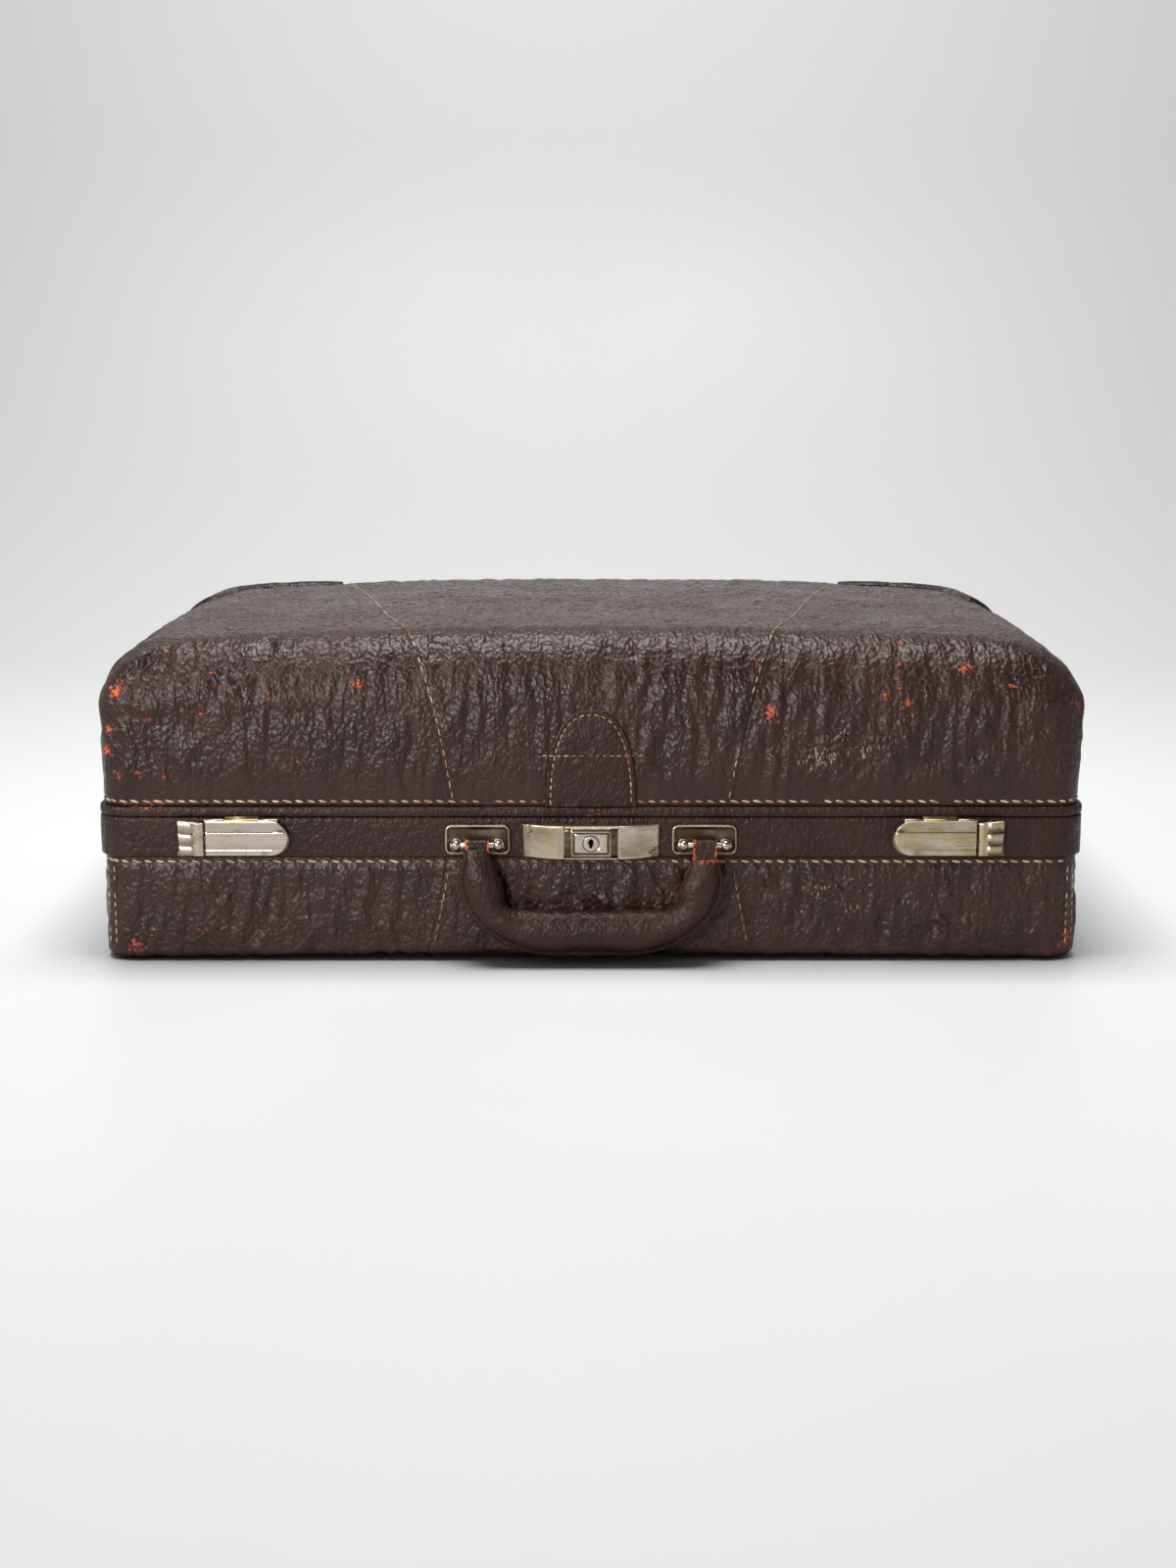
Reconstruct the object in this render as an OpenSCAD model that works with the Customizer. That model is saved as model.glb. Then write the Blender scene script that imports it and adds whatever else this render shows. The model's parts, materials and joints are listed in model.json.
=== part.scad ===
// Vintage leather suitcase lying flat: a base and a puffy hinged lid, two sliding latches,
// a keyed centre lock and a padded handle that hangs on two bars. The front faces -Y.

/* [Case] */
// Width of the leather case
case_w = 604; // [560:2:680]
// Depth of the leather case, front to back
case_d = 396; // [340:2:460]
// Height of the base wall up to the band
base_h = 66; // [64:1:90]
// Height of the smooth band round the rim
band_h = 25; // [25:0.5:30]
// How far the band stands out from the leather
band_proud = 2.4; // [1.6:0.2:3.2]
// Corner radius seen from above
corner_r = 20; // [16:1:28]
// Radius of the base's bottom edge
floor_edge_r = 12; // [9:1:15]
// Leather thickness
leather_t = 2; // [1.4:0.2:2.4]
// Board thickness
board_t = 3.6; // [2.6:0.2:4.6]
// Lining thickness
lining_t = 1; // [0.6:0.2:1.4]

/* [Lid] */
// Height of the lid's corners above the parting line
lid_h = 104; // [92:1:130]
// Rise of the top from the sides to the middle
crown_x = 7; // [4:1:18]
// Rise of the top from front and back to the middle
crown_y = 3; // [2:1:10]
// How far the lid's walls swell out
lid_puff = 2; // [1:0.5:3.5]
// Shoulder size across, at the sides
shoulder_x = 44; // [22:1:50]
// Shoulder size across, at front and back
shoulder_y = 42; // [34:1:54]
// Shoulder size, up and down
shoulder_z = 43; // [28:1:44]
// Height of the bound strip round the lid's edge
strip_h = 6; // [5:0.5:8]
// Height of the lid's wooden rail
lid_rail_h = 10.5; // [9:0.5:12]
// Width of the front tab
tab_w = 56; // [40:1:70]
// Height of the front tab
tab_h = 60; // [44:1:64]
// Thickness of the tab and the corner patches
patch_t = 1.6; // [1.2:0.2:2.4]

/* [Rear hinges] */
// Distance of the outer hinges from the middle
hinge_x = 190; // [120:2:210]
// Length of a hinge
hinge_w = 50; // [40:1:70]
// Outer radius of a hinge knuckle
knuckle_r = 3; // [2.6:0.1:3.4]
// Radius of a hinge pin
hinge_pin_r = 1.5; // [1.2:0.1:1.7]
// Thickness of a hinge leaf
hinge_leaf_t = 1.2; // [0.8:0.1:1.6]

/* [Latches] */
// Distance of each latch from the middle
latch_x = 219; // [190:1:225]
// Length of a latch
latch_w = 68; // [64:1:80]
// Height of a latch plate
latch_h = 19; // [18:0.5:20]
// Length of the thumb slide
slide_w = 16.5; // [14:0.5:20]
// Travel of the thumb slide
slide_travel = 6; // [5:0.5:7]
// Radius of the hasp's hinge barrel
barrel_r = 1.5; // [1.3:0.1:1.7]

/* [Lock] */
// Width of the lock's face
lock_w = 84; // [76:1:92]
// Height of the lock's face
lock_h = 20.5; // [20:0.5:21.5]
// Width of the raised block in the middle
block_w = 33; // [32:0.5:38]
// How far the block stands out from the band
block_f = 11.8; // [10.5:0.1:13]
// Radius of the key plug
plug_r = 4.65; // [4:0.05:5]

/* [Handle] */
// Distance of each handle plate from the middle
handle_x = 69.5; // [66:0.5:72]
// Width of a handle plate
plate_w = 40; // [38:0.5:46]
// Height of a handle plate
plate_h = 18.7; // [17:0.1:19.5]
// Distance between the two studs of a plate
stud_gap = 25.6; // [25:0.2:28]
// Radius of a stud's ball end
stud_ball_r = 3.35; // [3:0.05:3.6]
// Radius of the bar that the handle swings on
bar_r = 1.85; // [1.5:0.05:2.2]
// How far the bar stands out from the band
bar_f = 7; // [6.8:0.1:9]
// Width of a leather loop
loop_w = 14; // [11:0.5:15]
// Drop from the bar to the middle of the grip
grip_drop = 51; // [48:0.5:51]
// Radius of the padded grip
grip_r = 10.6; // [9:0.2:11]
// Height of the sewn fin beyond the padding
fin_h = 6; // [4:0.5:7]

/* [Hidden] */
$fn = 64;
// Clearances
glue = 0.2;
gap = 0.3;
run = 0.06;
slack = 0.1;
eps = 1;
// Heights
part_z = base_h + band_h;
lid_z = part_z + gap;
lid_leather_z = lid_z + strip_h + glue;
lid_rail_top = lid_z + lid_rail_h;
lid_corner_z = part_z + lid_h;
// Layers of the walls, as insets from the leather's outside
board_in = leather_t + glue;
lining_in = board_in + board_t + glue;
inner_in = lining_in + lining_t;
rail_in = board_in + board_t;
lid_rail_in = rail_in - 2 * glue;
// Front and back faces of the band
band_y = case_d / 2 + band_proud;
// Colours
leather_c = [0.26, 0.19, 0.17];
smooth_c = [0.22, 0.15, 0.13];
board_c = [0.55, 0.46, 0.34];
wood_c = [0.62, 0.48, 0.32];
lining_c = [0.72, 0.64, 0.5];
steel_c = [0.74, 0.7, 0.62];
brass_c = [0.78, 0.62, 0.34];

// A box on the front, between two distances out from the band
module fbox(x0, x1, f0, f1, z0, z1) {
  translate([x0, -(band_y + f1), z0]) cube([x1 - x0, f1 - f0, z1 - z0]);
}

// A round rod on the front that points forward
module frod(x, z, f0, f1, r) {
  translate([x, -(band_y + f0), z]) rotate([90, 0, 0]) cylinder(h = f1 - f0, r = r);
}

// A round rod on the front that lies along the width
module xrod(x0, x1, f, z, r) {
  translate([x0, -(band_y + f), z]) rotate([0, 90, 0]) cylinder(h = x1 - x0, r = r);
}

// An upright outline on the front, thickened forward
module fplate(f0, f1) {
  translate([0, -(band_y + f0), 0]) rotate([90, 0, 0]) linear_extrude(f1 - f0) children();
}

module rounded(w, d, r) {
  square([w - 2 * r, d], center = true);
  square([w, d - 2 * r], center = true);
  for (sx = [-1, 1], sy = [-1, 1])
    translate([sx * (w / 2 - r), sy * (d / 2 - r)]) circle(r);
}

// A ring that follows the case's outline between two insets
module rim(out_in, in_in, z0, z1) {
  translate([0, 0, z0]) linear_extrude(z1 - z0) difference() {
    rounded(case_w - 2 * out_in, case_d - 2 * out_in, corner_r - out_in);
    rounded(case_w - 2 * in_in, case_d - 2 * in_in, corner_r - in_in);
  }
}

module foot_profile(w, z0, z1, r) {
  translate([-w / 2, z0 + r]) square([w, z1 - z0 - r]);
  translate([-w / 2 + r, z0]) square([w - 2 * r, r]);
  for (s = [-1, 1]) translate([s * (w / 2 - r), z0 + r]) circle(r);
}

// The outside of a tub at one inset, with its bottom edge rounded
module tub(inset, z0, z1) {
  w = case_w - 2 * inset;
  d = case_d - 2 * inset;
  r = floor_edge_r - inset;
  intersection() {
    translate([0, 0, z0]) linear_extrude(z1 - z0) rounded(w, d, corner_r - inset);
    rotate([90, 0, 0]) linear_extrude(d + eps, center = true) foot_profile(w, z0, z1 + eps, r);
    rotate([90, 0, 90]) linear_extrude(w + eps, center = true) foot_profile(d, z0, z1 + eps, r);
  }
}

module base_leather() color(leather_c) difference() {
  tub(0, 0, base_h);
  tub(leather_t, leather_t, base_h + eps);
}

// The part of the case that belongs to the front, or to the right side, mitred at the corners
module front_part() {
  linear_extrude(part_z + eps) offset(delta = -gap / 2)
    polygon([[-half_w - eps, -half_d - eps], [half_w + eps, -half_d - eps],
      [half_w - half_d, 0], [half_d - half_w, 0]]);
}

module right_part() {
  linear_extrude(part_z + eps) offset(delta = -gap / 2)
    polygon([[half_w + eps, -half_d - eps], [half_w + eps, half_d + eps], [half_w - half_d, 0]]);
}

// The floor panel, and four walls that stand on it
module base_board() color(board_c) tub(board_in, board_in, rail_in);

module board_walls() intersection() {
  tub(board_in, board_in, base_h);
  rim(board_in, rail_in, rail_in + gap, base_h);
}

module front_board() intersection() {
  board_walls();
  front_part();
}

module right_board() intersection() {
  board_walls();
  right_part();
}

module base_front_board() color(board_c) front_board();
module base_rear_board() color(board_c) mirror([0, 1, 0]) front_board();
module base_right_board() color(board_c) right_board();
module base_left_board() color(board_c) mirror([1, 0, 0]) right_board();

lining_drop = 1;
module base_lining() color(lining_c) difference() {
  tub(lining_in, lining_in, part_z - lining_drop);
  tub(inner_in, inner_in, part_z + eps);
}

// Latch sizes, measured from the latch's own middle toward the case's middle
latch_z = base_h + 1.5;
latch_top = latch_z + latch_h;
latch_out = -latch_w / 2;
latch_in = latch_w / 2;
slide_in = latch_out + slide_w;
hasp_out = slide_in + gap;
latch_plate_t = 1;
barrel_f = 2.6;
barrel_z = part_z - 1.9;
hasp_back = 3.6;
hasp_t = 1.2;
pin_r = barrel_r / 2;
barrel_end = latch_in - 6.5;
leaf_u0 = hasp_out + 12;
leaf_u1 = barrel_end - 12;
leaf_t = 1;
leaf_front = -0.8;
leaf_back = leaf_front - leaf_t;
leaf_top = lid_z + strip_h - 0.5;
notch_side = 0.6;

// Lock sizes
lock_z = base_h + 0.6;
lock_top = lock_z + lock_h;
plug_z = lock_z + lock_h / 2;
hook_t = 1.2;
hook_front = -band_proud - 0.4;
hook_back = hook_front - hook_t;
hook_w = 12;
hook_top = lid_z + strip_h - 0.5;
throat = 4;
nose_h = 3.2;
bolt_travel = 4;
bolt_x0 = hook_w / 2 + 2;
bolt_x1 = bolt_x0 + 5;
hook_lip = 3;
hook_low = plug_z - nose_h / 2 - 2 * gap - hook_lip;
pocket = 0.6;

module hook_pocket(f0, f1) {
  fbox(-hook_w / 2 - pocket, hook_w / 2 + pocket, f0, f1, hook_low - pocket, part_z + eps);
}

module nose_pocket(f0, f1) {
  fbox(bolt_x0 - bolt_travel - pocket, bolt_x1 + pocket, f0, f1,
    plug_z - nose_h / 2 - pocket, plug_z + nose_h / 2 + pocket);
}

module front_rail() intersection() {
  rim(0, rail_in, base_h, part_z);
  front_part();
}

module right_rail() intersection() {
  rim(0, rail_in, base_h, part_z);
  right_part();
}

module base_front_rail() color(wood_c) difference() {
  front_rail();
  hook_pocket(hook_back - gap, -band_proud + eps);
  nose_pocket(hook_back - gap, -band_proud + eps);
}

module base_rear_rail() color(wood_c) mirror([0, 1, 0]) front_rail();
module base_right_rail() color(wood_c) right_rail();
module base_left_rail() color(wood_c) mirror([1, 0, 0]) right_rail();

module leaf_notch() {
  translate([-latch_x, 0, 0])
    fbox(leaf_u0 - notch_side, leaf_u1 + notch_side, -band_proud - eps, eps,
      barrel_z - leaf_t, part_z + eps);
}

module base_band() color(smooth_c) difference() {
  rim(-band_proud, -glue, base_h, part_z);
  leaf_notch();
  mirror([1, 0, 0]) leaf_notch();
  nose_pocket(-band_proud - eps, eps);
}

module leaf_slot() {
  translate([-latch_x, 0, 0])
    fbox(leaf_u0, leaf_u1, leaf_back, leaf_front, lid_z - eps, leaf_top);
}

module lid_strip() color(smooth_c) difference() {
  rim(-band_proud, leather_t, lid_z, lid_z + strip_h);
  leaf_slot();
  mirror([1, 0, 0]) leaf_slot();
  fbox(-hook_w / 2, hook_w / 2, hook_back, hook_front, lid_z - eps, hook_top);
}

module lid_rail() color(wood_c) rim(board_in, lid_rail_in, lid_z, lid_rail_top);

// The lid's outside as a surface. The profile runs up the wall (0 to 1), over the shoulder
// (1 to 2) and across the top (2 to 3). The outline runs through 4 sides and 4 corners.
half_w = case_w / 2;
half_d = case_d / 2;
corner_grow = 10;
puff_steps = [for (i = [0:4]) [i / 4, sin(90 * i / 4)]];
corner_n = 5;
side_nx = 8;
side_ny = 6;
wall_levels = [0.25, 0.5, 0.75];
shoulder_levels = [for (i = [0:5]) 1 + i / 5];
top_levels = [2.25, 2.5, 2.75];

function dome(x, y) = lid_corner_z + crown_x * (1 - pow(x / half_w, 2))
  + crown_y * (1 - pow(y / half_d, 2));
function wall_top(x, y) = dome(x, y) - shoulder_z;
function turn(t) = 90 * min(max(t - 1, 0), 1);
function shrink(t) = 1 - max(t - 2, 0);
function puff(t) = lid_puff * lookup(t, puff_steps);
function ring_x(t, d) = (half_w + puff(t) + d - (shoulder_x + d) * (1 - cos(turn(t)))) * shrink(t);
function ring_y(t, d) = (half_d + puff(t) + d - (shoulder_y + d) * (1 - cos(turn(t)))) * shrink(t);
function ring_r(t, d) = (corner_r + puff(t) + d + corner_grow * (1 - cos(turn(t)))) * shrink(t);

// One point of an outline with half sizes a, b and corner radius r
function side_point(k, u, a, b, r) =
  k == 0 ? [(2 * u - 1) * (a - r), -b] :
  k == 1 ? [a - r + r * sin(90 * u), -b + r - r * cos(90 * u)] :
  k == 2 ? [a, (2 * u - 1) * (b - r)] :
  k == 3 ? [a - r + r * cos(90 * u), b - r + r * sin(90 * u)] :
  k == 4 ? [(1 - 2 * u) * (a - r), b] :
  k == 5 ? [-a + r - r * sin(90 * u), b - r + r * cos(90 * u)] :
  k == 6 ? [-a, (1 - 2 * u) * (b - r)] :
  [-a + r - r * cos(90 * u), -b + r - r * sin(90 * u)];

function flat_point(t, s, d) =
  side_point(floor(s), s - floor(s), ring_x(t, d), ring_y(t, d), ring_r(t, d));

function lid_z_at(t, p, d) = t <= 1
  ? lid_leather_z + t * (wall_top(p[0], p[1]) - lid_leather_z)
  : dome(p[0], p[1]) + d - (shoulder_z + d) * (1 - sin(turn(t)));

function lid_point(t, s, d) = let (p = flat_point(t, s, d)) [p[0], p[1], lid_z_at(t, p, d)];

// A point of the wall at a given height
function wall_t(z, s, d) = let (p = flat_point(0, s, d))
  (z - lid_leather_z) / (wall_top(p[0], p[1]) - lid_leather_z);
function low_point(z, s, d) = let (p = flat_point(wall_t(z, s, d), s, d)) [p[0], p[1], z];

outline_s = concat(
  [for (i = [0:side_nx - 1]) i / side_nx],
  [for (i = [0:corner_n - 1]) 1 + i / corner_n],
  [for (i = [0:side_ny - 1]) 2 + i / side_ny],
  [for (i = [0:corner_n - 1]) 3 + i / corner_n],
  [for (i = [0:side_nx - 1]) 4 + i / side_nx],
  [for (i = [0:corner_n - 1]) 5 + i / corner_n],
  [for (i = [0:side_ny - 1]) 6 + i / side_ny],
  [for (i = [0:corner_n - 1]) 7 + i / corner_n]);
outline_n = len(outline_s);
ring_t = concat(wall_levels, shoulder_levels, top_levels);
ring_n = len(ring_t) + 1;

function skin_points(z0, d) = concat(
  [for (s = outline_s) low_point(z0, s, d)],
  [for (t = ring_t, s = outline_s) lid_point(t, s, d)],
  [[0, 0, dome(0, 0) + d]]);

function skin_faces(start, flip) = let (n = outline_n, tip = start + ring_n * n)
  concat(
    [for (k = [0:ring_n - 2], i = [0:n - 1], h = [0, 1]) let (
      a = start + k * n + i, b = start + k * n + (i + 1) % n, c = b + n, e = a + n)
      flip ? (h == 0 ? [a, b, c] : [a, c, e]) : (h == 0 ? [a, c, b] : [a, e, c])],
    [for (i = [0:n - 1]) let (
      a = start + (ring_n - 1) * n + i, b = start + (ring_n - 1) * n + (i + 1) % n)
      flip ? [a, b, tip] : [a, tip, b]]);

// A shell of the lid between an outer and an inner inset, open below
module lid_shell(z0, d_out, d_in) {
  n = outline_n;
  inner = ring_n * n + 1;
  polyhedron(
    points = concat(skin_points(z0, d_out), skin_points(z0, d_in)),
    faces = concat(
      skin_faces(0, false),
      skin_faces(inner, true),
      [for (i = [0:n - 1], h = [0, 1]) let (j = (i + 1) % n)
        h == 0 ? [i, j, inner + j] : [i, inner + j, inner + i]]),
    convexity = 4);
}

module lid_leather() color(leather_c) lid_shell(lid_leather_z, 0, -leather_t);

module lid_board() color(board_c) lid_shell(lid_rail_top + glue, -board_in, -rail_in);

module lid_lining() color(lining_c) lid_shell(lid_z + lining_drop, -lining_in, -inner_in);

// A piece of leather laid on the lid, from a grid of columns by rows
module laid(cols, rows, under, over) {
  count = cols * rows;
  function at(i, j) = i * rows + j;
  polyhedron(
    points = concat(under, over),
    faces = concat(
      [for (i = [0:cols - 2], j = [0:rows - 2], h = [0, 1])
        h == 0 ? [count + at(i, j), count + at(i + 1, j + 1), count + at(i + 1, j)]
          : [count + at(i, j), count + at(i, j + 1), count + at(i + 1, j + 1)]],
      [for (i = [0:cols - 2], j = [0:rows - 2], h = [0, 1])
        h == 0 ? [at(i, j), at(i + 1, j), at(i + 1, j + 1)] : [at(i, j), at(i + 1, j + 1), at(i, j + 1)]],
      [for (i = [0:cols - 2], e = [0, rows - 1], h = [0, 1]) let (
        a = at(i, e), b = at(i + 1, e), low = e == 0)
        low ? (h == 0 ? [a, count + a, count + b] : [a, count + b, b])
          : (h == 0 ? [a, b, count + b] : [a, count + b, count + a])],
      [for (j = [0:rows - 2], e = [0, cols - 1], h = [0, 1]) let (
        a = at(e, j), b = at(e, j + 1), left = e == 0)
        left ? (h == 0 ? [a, b, count + b] : [a, count + b, count + a])
          : (h == 0 ? [a, count + a, count + b] : [a, count + b, b])]),
    convexity = 4);
}

// The half-oval tab on the lid's front
tab_cols = 12;
tab_rows = 9;
tab_end = 0.06;
tab_oval = 2.4;
function tab_z(j) = lid_leather_z + gap + (tab_h - gap) * sin(90 * j / (tab_rows - 1));
function tab_half(j) = tab_w / 2 * max(tab_end,
  pow(max(0, 1 - pow(sin(90 * j / (tab_rows - 1)), tab_oval)), 1 / tab_oval));
function front_t(x, z) = (z - lid_leather_z) / (wall_top(x, half_d) - lid_leather_z);
function tab_point(i, j, d) = let (
  x = tab_half(j) * (2 * i / (tab_cols - 1) - 1), z = tab_z(j))
  [x, -(half_d + puff(front_t(x, z)) + d), z];
function tab_points(d) = [for (i = [0:tab_cols - 1], j = [0:tab_rows - 1]) tab_point(i, j, d)];

module lid_tab() color(smooth_c) laid(tab_cols, tab_rows, tab_points(gap), tab_points(gap + patch_t));

// The patch on the rear right corner, with its inner edge drawn in toward the corner
patch_side = [0.74, 0.87];
patch_back = 0.06;
patch_s = concat(
  [for (u = patch_side) 2 + u],
  [for (i = [0:corner_n]) 3 + i / corner_n],
  [4 + patch_back]);
patch_s_n = len(patch_s);
patch_foot = 0.02;
patch_reach = 1.9;
shoulder_end = 2;
level_min = 0.01;
patch_low = concat([patch_foot], wall_levels, [for (t = shoulder_levels) if (t < patch_reach) t]);
patch_draw = 0.16;
patch_lift = 2 * gap;
function patch_top(k) = patch_reach + patch_draw * sqrt(max(0, sin(180 * k / (patch_s_n - 1))));
function patch_t_list(k) = let (last = patch_low[len(patch_low) - 1], top = patch_top(k))
  concat(patch_low, [top > shoulder_end + level_min ? shoulder_end : (last + top) / 2, top]);
patch_rows = len(patch_low) + 2;
function patch_points(d) = [for (k = [0:patch_s_n - 1], j = [0:patch_rows - 1])
  lid_point(patch_t_list(k)[j], patch_s[k], d)];

module lid_right_patch() color(leather_c)
  laid(patch_s_n, patch_rows, patch_points(patch_lift), patch_points(patch_lift + patch_t));

module lid_left_patch() color(leather_c) mirror([1, 0, 0])
  laid(patch_s_n, patch_rows, patch_points(patch_lift), patch_points(patch_lift + patch_t));

// Rear hinges
knuckle_n = 5;
knuckle_len = hinge_w / knuckle_n;
hinge_off = knuckle_r + 0.4;
hinge_y = band_y + hinge_off;
hinge_z = part_z + gap / 2;
hinge_clear = knuckle_r + 0.5;
hinge_leaf_h = 21;
hinge_leaf_low = part_z - hinge_leaf_h;
hinge_leaf_top = lid_z + hinge_leaf_h;
hinge_rivets_n = 3;
hinge_rivet_r = 1.2;
rivet_head_r = 2.2;
rivet_head_t = 0.9;
rivet_base_z = hinge_leaf_low + 7;
rivet_lid_z = hinge_leaf_top - 7;

module knuckle(k) {
  translate([-hinge_w / 2 + k * knuckle_len + gap / 2, hinge_y, hinge_z])
    rotate([0, 90, 0]) cylinder(h = knuckle_len - gap, r = knuckle_r);
}

module knuckle_tab(k, up) {
  translate([-hinge_w / 2 + k * knuckle_len + gap / 2, band_y, up ? hinge_z : hinge_z - hinge_clear - eps])
    cube([knuckle_len - gap, hinge_leaf_t, hinge_clear + eps]);
}

module hinge_bore(r) {
  translate([-hinge_w, hinge_y, hinge_z]) rotate([0, 90, 0]) cylinder(h = 2 * hinge_w, r = r);
}

module hinge_holes(z, r, t) {
  for (i = [0:hinge_rivets_n - 1])
    translate([(i - (hinge_rivets_n - 1) / 2) * hinge_w / hinge_rivets_n, band_y - eps, z])
      rotate([-90, 0, 0]) cylinder(h = t + eps, r = r);
}

module base_hinge() difference() {
  union() {
    translate([-hinge_w / 2, band_y, hinge_leaf_low])
      cube([hinge_w, hinge_leaf_t, hinge_z - hinge_clear - hinge_leaf_low]);
    for (k = [0:2:knuckle_n - 1]) {
      knuckle(k);
      knuckle_tab(k, false);
    }
  }
  hinge_bore(hinge_pin_r + run);
  hinge_holes(rivet_base_z, hinge_rivet_r, 2 * hinge_leaf_t);
}

module lid_hinge() difference() {
  union() {
    translate([-hinge_w / 2, band_y, hinge_z + hinge_clear])
      cube([hinge_w, hinge_leaf_t, hinge_leaf_top - hinge_z - hinge_clear]);
    for (k = [1:2:knuckle_n - 1]) {
      knuckle(k);
      knuckle_tab(k, true);
    }
  }
  hinge_bore(hinge_pin_r + run);
  hinge_holes(rivet_lid_z, hinge_rivet_r, 2 * hinge_leaf_t);
}

module left_base_hinge() color(steel_c) translate([-hinge_x, 0, 0]) base_hinge();
module centre_base_hinge() color(steel_c) base_hinge();
module right_base_hinge() color(steel_c) translate([hinge_x, 0, 0]) base_hinge();
module left_lid_hinge() color(steel_c) translate([-hinge_x, 0, 0]) lid_hinge();
module centre_lid_hinge() color(steel_c) lid_hinge();
module right_lid_hinge() color(steel_c) translate([hinge_x, 0, 0]) lid_hinge();

module hinge_pins() color(steel_c) for (x = [-hinge_x, 0, hinge_x])
  translate([x - hinge_w / 2, hinge_y, hinge_z]) rotate([0, 90, 0]) cylinder(h = hinge_w, r = hinge_pin_r);

module hinge_rivet_row(z) {
  for (x = [-hinge_x, 0, hinge_x], i = [0:hinge_rivets_n - 1])
    translate([x + (i - (hinge_rivets_n - 1) / 2) * hinge_w / hinge_rivets_n, band_y, z]) rotate([-90, 0, 0]) {
      cylinder(h = hinge_leaf_t, r = hinge_rivet_r - run);
      translate([0, 0, hinge_leaf_t]) cylinder(h = rivet_head_t, r = rivet_head_r);
    }
}

module hinge_base_rivets() color(brass_c) hinge_rivet_row(rivet_base_z);
module hinge_lid_rivets() color(brass_c) hinge_rivet_row(rivet_lid_z);

// Latches
mid_z = latch_z + latch_h / 2;
latch_rivet_u = [hasp_out + 20, latch_in - 9];
latch_rivet_r = 1.2;
latch_head_r = 2;
latch_head_t = 0.8;
tongue_h = 5;
tongue_t = 1;
tongue_f = hasp_back - gap - tongue_t;
tongue_spare = 1.5;
tongue_len = slide_travel + tongue_spare;
lip_f = latch_plate_t + gap;
lip_t = tongue_f - gap - lip_f;
striker_u0 = slide_in + tongue_len + gap;
striker_w = 1.6;
lip_short = 1;
lip_len = slide_travel - lip_short;
cap_back = hasp_back;
cap_t = 1.8;
rib_r = 0.8;
rib_n = 3;
cap_top = barrel_z + 1.2;
track_w = 1.4;
track_lip = 1.2;
track_lip_t = 0.6;
track_top = cap_back - 2 * gap;
foot_f = latch_plate_t + slack;
foot_t = track_top - track_lip_t - gap - foot_f;
foot_h = latch_h - 2 * track_w - 2 * gap;
neck_h = foot_h - 2 * track_lip - 2 * gap;
foot_in = 1;
window_u0 = latch_out + 2;
window_u1 = slide_in - 3;
window_h = 9.6;
post_w = 1.4;
post_u = window_u0 + gap;
spring_h = 8.8;
spring_t = 0.4;
spring_f = foot_f + gap;
spring_wide = 1;

module plate_outline(u0, u1, z0, z1) {
  r = (z1 - z0) / 2;
  translate([u0, z0]) square([u1 - u0 - r, z1 - z0]);
  translate([u1 - r, z0 + r]) circle(r);
}

module latch_plate() translate([-latch_x, 0, 0]) difference() {
  union() {
    fplate(0, latch_plate_t) plate_outline(latch_out, latch_in, latch_z, latch_top);
    for (m = [-1, 1]) translate([0, 0, mid_z]) mirror([0, 0, m > 0 ? 1 : 0]) {
      fbox(latch_out, slide_in - gap, latch_plate_t - slack, track_top, -latch_h / 2, track_w - latch_h / 2);
      fbox(latch_out, slide_in - gap, track_top - track_lip_t, track_top,
        -latch_h / 2, track_w + track_lip - latch_h / 2);
    }
    fbox(post_u, post_u + post_w, latch_plate_t - slack, track_top,
      mid_z - spring_h / 4, mid_z + spring_h / 4);
  }
  for (u = latch_rivet_u) frod(u, mid_z, -eps, 2 * latch_plate_t, latch_rivet_r);
}

module left_latch_plate() color(steel_c) latch_plate();
module right_latch_plate() color(steel_c) mirror([1, 0, 0]) latch_plate();

module latch_rivets() color(brass_c) for (m = [0, 1]) mirror([m, 0, 0]) translate([-latch_x, 0, 0])
  for (u = latch_rivet_u) {
    frod(u, mid_z, 0, latch_plate_t, latch_rivet_r - run);
    frod(u, mid_z, latch_plate_t, latch_plate_t + latch_head_t, latch_head_r);
  }

// The thumb slide: a ribbed cap on a foot that runs under the lips of the plate's two tracks
cap_cut = slide_w / 8;
module slide() translate([-latch_x, 0, 0]) difference() {
  union() {
    fplate(cap_back, cap_back + cap_t) polygon([[latch_out + cap_cut, latch_z - gap],
      [slide_in, latch_z - gap], [slide_in, cap_top - cap_cut], [slide_in - cap_cut, cap_top],
      [latch_out, cap_top], [latch_out, latch_z + 2 * cap_cut]]);
    for (i = [0:rib_n - 1])
      xrod(latch_out + cap_cut, slide_in - slide_w / rib_n, cap_back + cap_t,
        latch_z + latch_h * (2 * i + 1) / (2 * rib_n), rib_r);
    fbox(latch_out + foot_in, slide_in - foot_in, foot_f, foot_f + foot_t,
      mid_z - foot_h / 2, mid_z + foot_h / 2);
    fbox(latch_out + foot_in, slide_in - foot_in, foot_f, cap_back + slack,
      mid_z - neck_h / 2, mid_z + neck_h / 2);
    fbox(slide_in - 2 * foot_in, slide_in + tongue_len, tongue_f, tongue_f + tongue_t,
      mid_z - tongue_h / 2, mid_z + tongue_h / 2);
  }
  fbox(window_u0, window_u1, 0, cap_back, mid_z - window_h / 2, mid_z + window_h / 2);
}

module left_slide() color(steel_c) slide();
module right_slide() color(steel_c) mirror([1, 0, 0]) slide();

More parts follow.
